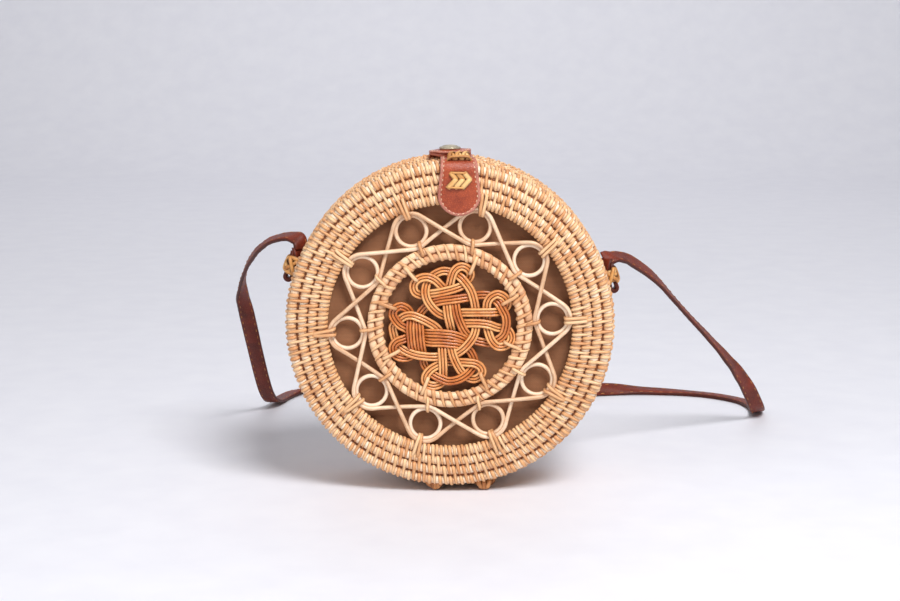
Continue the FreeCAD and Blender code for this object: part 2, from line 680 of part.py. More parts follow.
def hinges():
    """Two hinges under the seam: moving eye between two still eyes on a cane pin."""
    moving, still, pins = [], [], []
    for label, centre in (("left", "<hinge_left>"), ("right", "<hinge_right>")):
        moving.append(hinge_strap(
            "hinge_front_" + label, "%s - <hinge_eye>/2" % centre, "<hinge_eye>", -1,
            "<hinge_pin> + <hinge_play>",
        ))
        outer = "%s - <hinge_eye>/2 - <hinge_gap> - <hinge_side>" % centre
        inner = "%s + <hinge_eye>/2 + <hinge_gap>" % centre
        still.append(hinge_strap("hinge_back_%s_a" % label, outer, "<hinge_side>", 1, "<hinge_pin>"))
        still.append(hinge_strap("hinge_back_%s_b" % label, inner, "<hinge_side>", 1, "<hinge_pin>"))
        pins.append(across_bar(
            "hinge_pin_" + label, "<hinge_pin>", outer, "<hinge_eye> + 2*<hinge_gap> + 2*<hinge_side>",
        ))
    node(group("hinge_front_straps", moving), "hinge_front_straps")
    node(group("hinge_back_straps", still), "hinge_back_straps")
    node(group("hinge_pins", pins), "hinge_pins")


def foot(name, centre, side):
    """Lump of lashing over the end of a hinge strap, cut to the wall and flat below."""
    start = "%d*<foot_depth> - <foot_length>/2" % side
    floor = "-<outer_radius> - <foot_drop>"
    lump = block(
        name + "_lump", "%s - <foot_width>/2" % centre, start, floor,
        "<foot_width>", "<foot_length>", "<foot_rise>",
    )
    base = num(floor) + num("<fit>")
    lump = rounded(name + "_round", lump, Y_AXIS, lambda p: p.z < base, "<foot_edge>")
    before = "%s - <fit>" % start
    length = "<foot_length> + 2*<fit>"
    wall = round_bar(name + "_wall", "%s + <fit>" % WALL_OUT, before, length)
    width = "(<hinge_eye> + 2*<hinge_gap> + 2*<hinge_side> + 2*<fit>)"
    slot = block(
        name + "_slot", "%s - %s/2" % (centre, width), before, "-%s - <fit>" % HINGE_RADIUS,
        width, length, "<hinge_strap> + <foot_drop>",
    )
    return cut(name, lump, fuse(name + "_room", [wall, slot]))


def feet():
    for side, label in ((-1, "front_foot_lashings"), (1, "back_foot_lashings")):
        pair = [
            foot("%s_left" % label, "<hinge_left>", side),
            foot("%s_right" % label, "<hinge_right>", side),
        ]
        node(group(label, pair), label)


def strap_anchor(label, angle, down):
    """Folded strap end on the wall, with an eye below its lashing."""
    thick = "2*<strap_thickness>"
    low = "-<anchor_down>" if down < 0 else "-<anchor_up>"
    start = "<anchor_depth> - <strap_width>/2"
    layers = block(
        label + "_layers", low, start, TOP, "<anchor_up> + <anchor_down>", "<strap_width>", thick,
    )
    eye_x = "%d*<anchor_down>" % down
    eye_z = "%s + <anchor_eye>" % TOP
    eye = round_bar(label + "_eye", "<anchor_eye>", start, "<strap_width>", eye_x, eye_z)
    hole = round_bar(label + "_hole", "<anchor_eye_hole>", start, "<strap_width>", eye_x, eye_z)
    turned_piece = turned(cut("strap_" + label, fuse(label + "_solid", [layers, eye]), hole), num(angle))
    node(turned_piece, "strap_" + label)
    ties = []
    for k in (-1, 0, 1):
        over = "%s + %s + <tie_slack>/2" % (TOP, thick)
        ties.append(lash(
            "%s_tie_%d" % (label, k), num(angle), LASH_IN, over, "<anchor_depth>",
            "<coil_dia> - <strip_thickness>/2", "%d*<lash_pitch>" % k,
        ))
    lashing = label.replace("anchor", "anchor_lashing")
    node(group(lashing, ties), lashing)


# Shoulder strap: from the left strap end over and down to the floor behind the bag,
# in a loose bend along the floor and up again to the right strap end.
STRAP_LEFT = [
    (-92.0, 12.2, 151.0), (-95.0, 15.0, 159.5), (-106.0, 25.0, 161.0), (-119.0, 45.0, 153.0),
    (-131.0, 72.0, 137.0), (-140.0, 102.0, 114.0), (-145.0, 130.0, 90.0), (-146.0, 158.0, 63.0),
    (-143.0, 190.0, 33.0), (-139.0, 216.0, 9.0),
]
STRAP_FLOOR = [
    (-133.0, 240.0, 3.0), (-114.0, 267.0, 3.0), (-82.0, 279.0, 3.0), (-48.0, 270.0, 3.0),
    (-25.0, 243.0, 3.0), (-14.0, 208.0, 3.0), (8.0, 180.0, 3.0), (42.0, 178.0, 3.0),
    (64.0, 205.0, 3.0), (84.0, 236.0, 3.0), (118.0, 252.0, 3.0), (158.0, 256.0, 3.0),
    (196.0, 248.0, 3.0), (222.0, 224.0, 3.0), (227.0, 196.0, 5.0),
]
STRAP_RIGHT = [
    (218.0, 168.0, 20.0), (202.0, 142.0, 44.0), (178.0, 112.0, 72.0), (154.0, 82.0, 102.0),
    (132.0, 52.0, 129.0), (116.5, 32.0, 146.0), (106.5, 21.0, 152.0), (98.5, 14.5, 151.5),
    (95.4, 12.2, 145.0),
]


def strap_exit(angle, up):
    """Just above the middle of the upper end of a strap anchor."""
    along = num("<anchor_up> + 2*<fit>")
    local = Vector(up * along, num("<anchor_depth>"), num(TOP) + num("<strap_thickness>"))
    return Rotation(Y_AXIS, angle).multVec(local) + Vector(0, 0, num(AXIS_HEIGHT))


def strap_route():
    start = strap_exit(num("<anchor_left_angle>"), 1)
    finish = strap_exit(num("<anchor_right_angle>"), -1)
    return [start] + [Vector(*p) for p in STRAP_LEFT + STRAP_FLOOR + STRAP_RIGHT] + [finish]


def rounded_route(points):
    """Straight runs joined by tangent arcs, each as large as its two runs allow."""
    edges, radii = [], []
    here = points[0]
    for k in range(1, len(points) - 1):
        before = points[k] - points[k - 1]
        after = points[k + 1] - points[k]
        setback = 0.45 * min(before.Length, after.Length)
        turn = before.getAngle(after)
        radius = setback / math.tan(turn / 2)
        radii.append(radius)
        before.normalize()
        after.normalize()
        first = points[k] - before * setback
        last = points[k] + after * setback
        inward = (after - before).normalize()
        sag = radius / math.cos(turn / 2) - radius
        edges.append(Part.LineSegment(here, first).toShape())
        edges.append(Part.Arc(first, points[k] + inward * sag, last).toShape())
        here = last
    edges.append(Part.LineSegment(here, points[-1]).toShape())
    return Part.Wire(edges), radii


def shoulder_strap():
    """Plain round bar along the strap's route, two strap layers thick."""
    wire, radii = rounded_route(strap_route())
    strap = doc.addObject("Part::Feature", "shoulder_strap")
    strap.Shape = sweep(wire, num("<strap_thickness>"))
    ideal = math.pi * num("<strap_thickness>") ** 2 * wire.Length
    print("strap length %.1f, volume share %.4f" % (wire.Length, strap.Shape.Volume / ideal))
    print("strap radii", [round(radius, 1) for radius in radii])
    strap.Label = "shoulder_strap"
    nodes.append(strap)


coil_wall(1, "back_coil_wall")
coil_disc()
coil_wall(-1, "front_coil_wall")
coil_border()
inner_ring()
linings()
scroll_rings()
wave_cane("scroll_cane_front", -1, -1)
wave_cane("scroll_cane_back", 1, 1)
scroll_ties()
knot_band("knot_band_upright", -1, 0)
knot_band("knot_band_level", 0, 90)
knot_arches(1)
knot_ties()
front_tab()
tab_lashings()
closure()
snap()
hinges()
feet()
strap_anchor("anchor_left", "<anchor_left_angle>", -1)
strap_anchor("anchor_right", "<anchor_right_angle>", 1)
shoulder_strap()

doc.recompute()
for thing in doc.Objects:
    if "Invalid" in thing.State or "Error" in thing.State:
        raise RuntimeError("%s failed: %s" % (thing.Label, thing.State))
for thing in nodes:
    if thing.Shape.isNull() or not thing.Shape.isValid():
        raise RuntimeError("%s has no valid shape" % thing.Label)
os.makedirs("parts", exist_ok=True)
for thing in nodes:
    thing.Shape.exportStep("parts/%s.step" % thing.Label)
    print("%-22s solids %2d volume %9.1f" % (thing.Label, len(thing.Shape.Solids), thing.Shape.Volume))
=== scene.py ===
import random
from math import atan2, copysign, cos, pi, radians, sin, sqrt

import bpy
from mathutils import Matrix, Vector


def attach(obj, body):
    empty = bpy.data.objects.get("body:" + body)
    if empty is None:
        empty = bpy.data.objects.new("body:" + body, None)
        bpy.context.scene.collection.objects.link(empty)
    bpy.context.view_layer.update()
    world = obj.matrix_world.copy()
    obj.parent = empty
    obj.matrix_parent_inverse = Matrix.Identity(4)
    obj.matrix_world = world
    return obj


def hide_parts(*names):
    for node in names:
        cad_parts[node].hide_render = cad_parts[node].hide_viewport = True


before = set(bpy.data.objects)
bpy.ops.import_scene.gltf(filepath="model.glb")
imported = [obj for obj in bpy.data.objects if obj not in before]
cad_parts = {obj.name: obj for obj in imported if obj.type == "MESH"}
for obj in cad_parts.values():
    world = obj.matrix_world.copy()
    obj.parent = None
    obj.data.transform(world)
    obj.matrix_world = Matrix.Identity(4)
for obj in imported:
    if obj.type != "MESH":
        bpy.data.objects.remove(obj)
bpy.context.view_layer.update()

MM = 0.001
TURN = 2 * pi
X, Y, Z = Vector((1, 0, 0)), Vector((0, 1, 0)), Vector((0, 0, 1))

# Sizes in millimetres, as in the part's source.
AXIS = 103.5
TUBE = 3.05
COIL_PITCH = 5.9
FACE_DEPTH = -33.75
BORDER_ROWS = [(77.95, FACE_DEPTH), (83.85, FACE_DEPTH), (89.75, FACE_DEPTH)]
EDGE_ROW = (95.85, -32.75)
WALL_ROWS = [(97.05, depth) for depth in (-26.95, -21.05, -15.15, -9.25, -3.35)]
BINDERS = 184
RING_ROWS = [(43.3, FACE_DEPTH), (47.9, FACE_DEPTH)]
RING_TUBE = 2.4
RING_BINDERS = 52
SCROLLS = 10
SCROLL_FIRST = radians(14)
SCROLL_CENTRE = 62.55
SCROLL_RING = 9.3
SCROLL_WAVE = 11.0
SCROLL_CANE = 1.3
LINING_RADIUS = 92.6
TAB_X = 5.5
TAB_HALF = 12.9
LEATHER = 1.8
MID = LEATHER / 2
STRAP_WIDTH = 10.8
STRAP_THICK = 2.2
ANCHOR_DEPTH = 12.2
ANCHOR_ANGLES = (("left", -70), ("right", 74))
FEET_X = (-9, 21)

# Closed profiles, as (share of the half width, share of the thickness).
CROWN = [(-1, -0.4), (-0.74, 0.62), (0, 1), (0.74, 0.62), (1, -0.4)]
BROAD = [(-1, -0.5), (-0.8, 0.7), (-0.3, 1), (0.3, 1), (0.8, 0.7), (1, -0.5)]
ROUND = [(cos(a), sin(a)) for a in (pi - k * TURN / 8 for k in range(8))]
HIDE = [(-1, -0.25), (-0.95, 0.3), (-0.84, 0.5), (-0.4, 0.5), (0, 0.5), (0.4, 0.5), (0.84, 0.5),
        (0.95, 0.3), (1, -0.25), (0.95, -0.5), (-0.95, -0.5)]


def polar(radius, theta, depth):
    """A point about the bag's axis, the angle clockwise from the top as seen from the front."""
    return Vector((radius * sin(theta), depth, AXIS + radius * cos(theta)))


def smooth(points, steps):
    """Points on a smooth line through the given ones."""
    line = []
    last = len(points) - 1
    for i in range(last):
        a, b = points[max(i - 1, 0)], points[i]
        c, d = points[i + 1], points[min(i + 2, last)]
        for k in range(steps):
            t = k / steps
            line.append(0.5 * (2 * b + (c - a) * t + (2 * a - 5 * b + 4 * c - d) * t ** 2
                               + (3 * b - a - 3 * c + d) * t ** 3))
    line.append(points[last].copy())
    return line


class Stock:
    """Gathers strips and tubes, in millimetres, into one mesh piece."""

    def __init__(self):
        self.verts = []
        self.faces = []
        self.slots = []
        self.strip = []

    def vertex(self, point, strip):
        """Add a point with its place along and across its strip and the strip's tone."""
        self.verts.append(point)
        self.strip.append(strip)
        return len(self.verts) - 1

    def face(self, corners, slot):
        self.faces.append(corners)
        self.slots.append(slot)

    def skin(self, rings, slot=0, flip=False):
        """Faces between rings of vertices, any of which may be a single point. flip turns them over."""
        steps = max(len(ring) for ring in rings)
        for low, high in zip(rings, rings[1:]):
            for k in range(steps):
                n = (k + 1) % steps
                corners = [low[k % len(low)], low[n % len(low)], high[n % len(high)], high[k % len(high)]]
                if flip:
                    corners[1:] = corners[:0:-1]
                self.face(tuple(dict.fromkeys(corners)), slot)

    def loft(self, path, normals, profile, width, thick, slot=0, tone=0.5, ring=False):
        """Sweep a closed profile along a path. width is the half width, a number or one per point."""
        count = len(path)
        sides = len(profile)
        base = len(self.verts)
        length = 0.0
        for i, point in enumerate(path):
            before = path[i - 1] if i or ring else point
            after = path[(i + 1) % count] if i < count - 1 or ring else point
            tangent = (after - before).normalized()
            side = tangent.cross(normals[i]).normalized()
            up = side.cross(tangent)
            half = width[i] if isinstance(width, list) else width
            for across, rise in profile:
                self.vertex(point + side * (across * half) + up * (rise * thick), (length, across, tone))
            if i < count - 1:
                length += (path[i + 1] - point).length
        for i in range(count if ring else count - 1):
            a = base + i * sides
            b = base + (i + 1) % count * sides
            for k in range(sides):
                n = (k + 1) % sides
                self.face((a + k, a + n, b + n, b + k), slot)
        if not ring:
            self.face(tuple(base + k for k in reversed(range(sides))), slot)
            end = base + (count - 1) * sides
            self.face(tuple(end + k for k in range(sides)), slot)

    def tube(self, path, radius, slot=0, tone=0.5, ring=False):
        self.loft(path, [-Y] * len(path), ROUND, radius, radius, slot, tone, ring)

    def lathe(self, centre, axis, across, profile, slot=0, tone=0.5, steps=48):
        """Turn (radius, height) pairs about an axis. The first and last radius are nothing."""
        other = axis.cross(across)
        rings = []
        for radius, height in profile:
            around = []
            for k in range(steps if radius else 1):
                a = TURN * k / steps
                arm = across * cos(a) + other * sin(a)
                around.append(self.vertex(centre + arm * radius + axis * height,
                                          (radius * a, cos(a), tone)))
            rings.append(around)
        self.skin(rings, slot)

    def build(self, name, body, materials, slot, replaces=()):
        mesh = bpy.data.meshes.new(name)
        mesh.from_pydata([v * MM for v in self.verts], [], self.faces)
        strip = mesh.attributes.new("strip", "FLOAT_VECTOR", "POINT")
        strip.data.foreach_set("vector", [value for row in self.strip for value in row])
        for material in materials:
            mesh.materials.append(material)
        mesh.polygons.foreach_set("material_index", self.slots)
        mesh.polygons.foreach_set("use_smooth", [True] * len(self.faces))
        mesh.update()
        piece = bpy.data.objects.new(name, mesh)
        bpy.context.scene.collection.objects.link(piece)
        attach(piece, body)
        if replaces:
            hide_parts(*replaces)
        return piece


# Materials, with colours as 0 to 255 display values


def colour(red, green, blue):
    """Linear colour, with alpha, from display values."""
    def linear(value):
        value /= 255
        return value / 12.92 if value <= 0.04045 else ((value + 0.055) / 1.055) ** 2.4
    return (linear(red), linear(green), linear(blue), 1)


class Nodes:
    """A small hand for wiring one material's nodes."""

    def __init__(self, name):
        self.material = bpy.data.materials.new(name)
        self.material.use_nodes = True
        self.tree = self.material.node_tree
        self.shader = self.tree.nodes["Principled BSDF"]

    def add(self, kind, sockets=(), **values):
        """A new node with its values, and its sockets set or linked."""
        node = self.tree.nodes.new(kind)
        for key, value in values.items():
            setattr(node, key, value)
        for key, value in dict(sockets).items():
            self.feed(node.inputs[key], value)
        return node

    def feed(self, socket, value):
        """Set a socket to a number or a colour, or link another to it."""
        if isinstance(value, (int, float)):
            socket.default_value = value
        elif isinstance(value, tuple):
            socket.default_value = colour(*value)
        else:
            self.tree.links.new(value, socket)

    def math(self, operation, a, b=0.0, clamp=False):
        return self.add("ShaderNodeMath", {0: a, 1: b}, operation=operation, use_clamp=clamp).outputs[0]

    def times(self, a, b):
        return self.math("MULTIPLY", a, b)

    def plus(self, a, b, clamp=False):
        return self.math("ADD", a, b, clamp)

    def noise(self, vector, scale, detail=3.0):
        return self.add("ShaderNodeTexNoise", {"Vector": vector, "Scale": scale, "Detail": detail,
                                               "Roughness": 0.55}).outputs["Fac"]

    def ramp(self, factor, stops):
        node = self.add("ShaderNodeValToRGB", {"Fac": factor})
        while len(node.color_ramp.elements) < len(stops):
            node.color_ramp.elements.new(0.5)
        for element, (place, shade) in zip(node.color_ramp.elements, stops):
            element.position = place
            element.color = colour(*shade)
        return node.outputs["Color"]

    def mix(self, factor, a, b):
        return self.add("ShaderNodeMix", {0: factor, 6: a, 7: b}, data_type="RGBA").outputs[2]

    def strip(self):
        """Length along a strip, place across it and its own tone, as written by Stock."""
        node = self.add("ShaderNodeAttribute", attribute_name="strip")
        return self.add("ShaderNodeSeparateXYZ", {0: node.outputs["Vector"]}).outputs

    def join(self, x, y, z):
        return self.add("ShaderNodeCombineXYZ", {0: x, 1: y, 2: z}).outputs[0]

    def place(self):
        return self.add("ShaderNodeTexCoord").outputs["Object"]

    def bump(self, height, strength, distance):
        node = self.add("ShaderNodeBump", {"Height": height, "Strength": strength, "Distance": distance})
        self.feed(self.shader.inputs["Normal"], node.outputs["Normal"])

    def finish(self, body, rough_low, rough_high, factor, metallic=0.0, specular=0.5):
        rough = self.add("ShaderNodeMapRange", {"To Min": rough_low, "To Max": rough_high, "Value": factor})
        for key, value in (("Base Color", body), ("Roughness", rough.outputs[0]), ("Metallic", metallic),
                           ("Specular IOR Level", specular)):
            self.feed(self.shader.inputs[key], value)
        return self.material


def cane(name, light, middle, dark, edge, streaks=2.4, low=0.38, high=0.6, edge_shade_power=5.0):
    """Peeled rattan: long fibres, blotches, each strip its own tone, and painted shade darkening each strip
    towards its edges.
    """
    n = Nodes(name)
    along, across, tone = n.strip()
    fibre = n.noise(n.join(n.times(along, 0.07), n.times(across, streaks), n.times(tone, 61.0)), 1.0, 4.0)
    blotch = n.noise(n.place(), 160.0)
    mixed = n.plus(n.times(tone, 0.5), n.times(fibre, 0.62))
    factor = n.plus(mixed, n.times(n.math("SUBTRACT", blotch, 0.5), 0.5), clamp=True)
    body = n.ramp(factor, [(0.22, dark), (0.5, middle), (0.78, light)])
    # Painted shade: each strip darkens towards both sides into the edge colour, as if shaded where it meets
    # its neighbours.
    rim = n.math("POWER", n.math("ABSOLUTE", across), edge_shade_power)
    n.bump(fibre, 0.35, 0.0003)
    return n.finish(n.mix(n.times(rim, 0.75), body, edge), low, high, fibre)


def leather(name, light, dark, raw, low=0.34, high=0.55, shine=0.5):
    """Grained leather with pores, soft mottling and a raw cut edge."""
    n = Nodes(name)
    across = n.strip()[1]
    place = n.place()
    grain = n.add("ShaderNodeTexVoronoi", {"Vector": place, "Scale": 900.0}, feature="DISTANCE_TO_EDGE")
    pores = n.math("MINIMUM", n.times(grain.outputs["Distance"], 3.0), 1.0)
    fine = n.noise(place, 1500.0, 2.0)
    mottle = n.noise(place, 90.0, 4.0)
    body = n.ramp(n.plus(n.times(mottle, 0.8), n.times(pores, 0.25)), [(0.3, dark), (0.75, light)])
    rim = n.math("GREATER_THAN", n.math("ABSOLUTE", across), 0.93)
    n.bump(n.plus(n.times(pores, 0.7), n.times(fine, 0.5)), 0.5, 0.00025)
    worn = n.times(rim, n.plus(n.times(fine, 0.4), 0.55))
    return n.finish(n.mix(worn, body, raw), low, high, mottle, specular=shine)


def cloth(name, light, dark):
    """Plain woven lining with crossing threads and soft blotches."""
    n = Nodes(name)
    place = n.place()
    x, y, z = n.add("ShaderNodeSeparateXYZ", {0: place}).outputs
    fineness = TURN / 0.0011
    warp = n.math("SINE", n.times(n.plus(x, y), fineness))
    weft = n.math("SINE", n.times(z, fineness))
    threads = n.plus(n.times(n.times(warp, weft), 0.5), 0.5)
    slub = n.noise(n.join(n.times(x, 60.0), n.times(y, 60.0), n.times(z, 700.0)), 1.0)
    blotch = n.noise(place, 28.0)
    factor = n.plus(n.times(blotch, 0.7), n.plus(n.times(slub, 0.2), n.times(threads, 0.12)))
    n.bump(n.plus(n.times(threads, 0.6), slub), 0.4, 0.0003)
    return n.finish(n.ramp(factor, [(0.3, dark), (0.75, light)]), 0.8, 0.95, slub, specular=0.2)


def metal(name, light, dark):
    """Pewter-plated metal with fine rubbed scratches and dull spots."""
    n = Nodes(name)
    place = n.place()
    dull = n.noise(place, 260.0, 4.0)
    n.bump(n.noise(place, 2400.0, 2.0), 0.15, 0.0001)
    return n.finish(n.ramp(dull, [(0.3, dark), (0.7, light)]), 0.3, 0.5, dull, metallic=0.9)


def thread(name, light, dark):
    """Twisted stitching thread."""
    n = Nodes(name)
    along, across, tone = n.strip()
    wave = n.math("SINE", n.plus(n.times(along, 9.0), n.times(across, 2.0)))
    twist = n.plus(n.times(wave, 0.5), 0.5)
    factor = n.plus(n.times(twist, 0.5), n.times(tone, 0.5))
    n.bump(twist, 0.4, 0.0002)
    return n.finish(n.ramp(factor, [(0.1, dark), (0.8, light)]), 0.55, 0.75, twist)


# The fourth colour of each cane is its edge colour, painted shade at the sides of every strip.
WRAP = cane("rattan_wrap", (255, 236, 210), (249, 214, 176), (222, 168, 124), (132, 72, 38), edge_shade_power=3.5)
BINDER = cane("rattan_binder", (248, 206, 158), (234, 178, 124), (210, 144, 92), (122, 62, 28), edge_shade_power=3.2)
# The coils' cores and the fillers between rows: dark brown as painted shade where they show in the gaps
# between strips.
CORE_AND_GAP_SHADE = cane("rattan_core_gap_shade", (170, 104, 60), (142, 82, 44), (110, 58, 28), (110, 58, 28))
PATCH = cane("ring_wrap", (250, 214, 174), (238, 190, 146), (212, 152, 108), (146, 86, 50), edge_shade_power=3.5)
SCROLL = cane("scroll_cane_peeled", (252, 230, 204), (243, 211, 178), (216, 170, 130), (206, 156, 116),
              streaks=1.2, low=0.3, high=0.5)
KNOT = cane("knot_cane", (248, 180, 114), (220, 130, 64), (166, 78, 30), (84, 34, 12),
            streaks=1.4, low=0.16, high=0.34, edge_shade_power=2.6)
GOLD = cane("lashing_cane", (242, 196, 130), (222, 162, 92), (176, 110, 52), (92, 46, 16), edge_shade_power=2.6)
TIE = cane("tie_cane", (246, 204, 156), (230, 174, 122), (200, 136, 86), (140, 80, 42), edge_shade_power=3.2)
# Darker than the other lashing cane; on the feet under the bag this darkness is partly painted shade.
HINGE = cane("hinge_cane", (216, 152, 92), (186, 118, 62), (130, 74, 32), (80, 42, 18), edge_shade_power=3.0)
LINING = cloth("lining_weave", (166, 117, 84), (122, 81, 56))
TAB = leather("tab_hide", (184, 82, 44), (128, 46, 22), (196, 116, 94), low=0.28, high=0.46)
RIM = leather("tab_rim", (206, 136, 116), (158, 86, 68), (206, 136, 116))
STRAP = leather("strap_hide", (136, 52, 32), (86, 32, 20), (60, 24, 15), shine=0.25)
PEWTER = metal("snap_pewter", (204, 194, 172), (150, 140, 118))
TAB_THREAD = thread("tab_thread", (238, 198, 164), (200, 148, 116))
STRAP_THREAD = thread("strap_thread", (186, 122, 64), (140, 84, 40))


# Shoulder strap, a free cord


STRAP_ROUTE = [
    (-94.3, 12.2, 144.5), (-93.6, 12.2, 149), (-97, 14, 152.8), (-106, 22, 151.6), (-116.5, 34, 147),
    (-125.5, 48, 139), (-133.5, 66, 128.4), (-139.5, 86, 116), (-143, 104, 102.5), (-141.8, 124, 86.5),
    (-140, 150, 60), (-137.5, 178, 29), (-135, 196, 10), (-131, 214, 2.6), (-126, 240, 2),
    (-112, 262, 3.8), (-82, 276, 5.6), (-48, 270, 5.8), (-25, 243, 5.7), (-14, 208, 5.7),
    (8, 180, 5.7), (42, 178, 5.7), (64, 205, 5.7), (84, 236, 5.7), (118, 252, 4.8),
    (158, 256, 2.2), (196, 248, 1.6), (220, 226, 1.6), (227, 204, 1.7), (226.5, 184, 2.6),
    (223, 165, 8), (214.5, 150, 25), (203.5, 136.5, 41.5), (191, 121, 56.5), (176, 103, 73.5),
    (162, 87, 88.5), (148, 69, 104.5), (134.5, 51, 120.5), (122.5, 36.5, 130.5), (113, 25, 137),
    (106, 17, 139.6), (100.6, 12.8, 139.6), (96.9, 12.2, 137.9),
]
# Which way the outer face looks at some of the route's points, each after its point's number.
STRAP_FACES = [
    (0, 0.75, -0.6, -0.27), (1, 0.6, -0.8, 0.05), (2, 0.45, -0.65, 0.6), (3, 0, -0.5, 0.86),
    (4, -0.6, -0.25, 0.75), (5, -0.86, -0.15, 0.48), (6, -0.92, -0.08, 0.38), (7, -0.95, 0.1, 0.3),
    (8, -0.7, 0.5, 0.5), (9, -0.2, 0.75, 0.6), (10, 0, 0.75, 0.65), (11, 0, 0.7, 0.7),
    (12, 0, 0.5, 0.85), (13, 0, 0.1, 1), (14, 0, 0, 1), (15, -0.3, 0.4, 0.9),
    (16, -0.05, 0.95, 0.3), (17, 0.3, 0.95, 0.05), (18, 0.83, 0.55, 0), (19, 0.88, 0.46, 0),
    (20, 0.47, 0.88, 0), (21, -0.4, 0.9, 0), (22, -0.82, 0.57, 0), (23, -0.65, 0.75, -0.05),
    (24, -0.3, 0.75, -0.6), (25, 0, 0.2, -0.98), (26, 0, 0, -1), (28, 0, -0.05, -1),
    (29, 0.05, -0.3, -0.95), (30, 0.2, -0.65, -0.7), (31, 0.35, -0.8, -0.4), (32, 0.58, -0.7, 0.1),
    (33, 0.72, -0.45, 0.4), (34, 0.77, -0.25, 0.58), (35, 0.76, -0.15, 0.63), (36, 0.75, -0.15, 0.64),
    (37, 0.65, -0.3, 0.68), (38, 0.5, -0.5, 0.7), (39, 0.3, -0.65, 0.7), (40, -0.1, -0.7, 0.7),
    (41, -0.55, -0.7, 0.45), (42, -0.75, -0.6, -0.2),
]


def spline_points(route):
    """Points of the smooth line that has the route's points as its control points."""
    curve = bpy.data.curves.new("strap_line", "CURVE")
    curve.dimensions = "3D"
    line = curve.splines.new("NURBS")
    line.points.add(len(route) - 1)
    for point, place in zip(line.points, route):
        point.co = (*place, 1)
    line.order_u = 3
    line.use_endpoint_u = True
    line.resolution_u = 14
    holder = bpy.data.objects.new("strap_line", curve)
    mesh = bpy.data.meshes.new_from_object(holder)
    points = [vertex.co.copy() for vertex in mesh.vertices]
    bpy.data.objects.remove(holder)
    bpy.data.curves.remove(curve)
    bpy.data.meshes.remove(mesh)
    return points


def faced(count, faces, last):
    """A face direction for each of the points, turned smoothly between those given."""
    normals = []
    for i in range(count):
        place = i / (count - 1) * last
        for (low, *a), (high, *b) in zip(faces, faces[1:]):
            if place <= high:
                share = (place - low) / (high - low)
                share = share * share * (3 - 2 * share)
                normals.append(Vector(a).lerp(Vector(b), share).normalized())
                break
    return normals


def stitches(stock, path, normals, offset, height, step, size, draw):
    """A row of sewn stitches beside a path, offset across it and raised off it."""
    row = []
    for i, point in enumerate(path):
        way = (path[min(i + 1, len(path) - 1)] - path[max(i - 1, 0)]).normalized()
        side = way.cross(normals[i]).normalized()
        up = side.cross(way)
        row.append((point + side * offset + up * height, up))
    walked = 0.0
    start = None
    for (a, up), (b, _) in zip(row, row[1:]):
        span = (b - a).length
        while span > 0 and walked + span >= step / 2:
            share = (step / 2 - walked) / span
            a = a.lerp(b, share)
            span = (b - a).length
            walked = 0.0
            if start is None:
                start = a
            else:
                gap = (a - start) * 0.14
                first, final = start + gap, a - gap
                middle = (first + final) / 2 + up * size * 0.45
                stock.loft([first - up * size * 0.5, first + (middle - first) * 0.4 + up * size * 0.2, middle,
                            final + (middle - final) * 0.4 + up * size * 0.2, final - up * size * 0.5],
                           [up] * 5, ROUND, size, size * 0.7, 0, draw.random())
                start = None
        walked += span


route = spline_points(STRAP_ROUTE)
route_faces = faced(len(route), STRAP_FACES, len(STRAP_ROUTE) - 1)
strap = Stock()
strap.loft(route, route_faces, HIDE, STRAP_WIDTH / 2, STRAP_THICK)
strap_piece = strap.build("shoulder_strap_leather", "back_shell", [STRAP], "strap_leather",
                          ["shoulder_strap"])
seams = Stock()
draw = random.Random(3)
for side in (-3.9, 3.9):
    for face in (1, -1):
        stitches(seams, route, [out * face for out in route_faces], side, 1.05, 7.6, 0.32, draw)
strap_seams = seams.build("shoulder_strap_stitching", "back_shell", [STRAP_THREAD], "strap_leather")


# Coiled rattan


def heading(row, other):
    """Angle from one row's middle to another's, 0 outward and a quarter turn to the front."""
    return atan2(row[1] - other[1], other[0] - row[0])


def over_row(row, angle, rise, theta, sign):
    """A point on a row's round, and which way is out there."""
    point = polar(row[0] + rise * cos(angle), theta, sign * (row[1] - rise * sin(angle)))
    out = Vector((cos(angle) * sin(theta), -sign * sin(angle),
                  cos(angle) * cos(theta)))
    return point, out


def laid(marks, sign):
    """A path over (row, angle, rise, theta) marks, and which way is out along it."""
    spots = [over_row(*mark, sign) for mark in marks]
    return [point for point, _ in spots], [out for _, out in spots]


def hoop(stock, radius, depth, tube, steps, draw):
    """A plain tube of dark cane, one closed turn, for a coil's core or a filler between two rows; its dark
    colour is painted shade in the gaps.
    """
    turns = [polar(radius, TURN * k / steps, depth) for k in range(steps)]
    stock.tube(turns, tube, CORE_AND_GAP_SHADE_SLOT, draw.random(), ring=True)


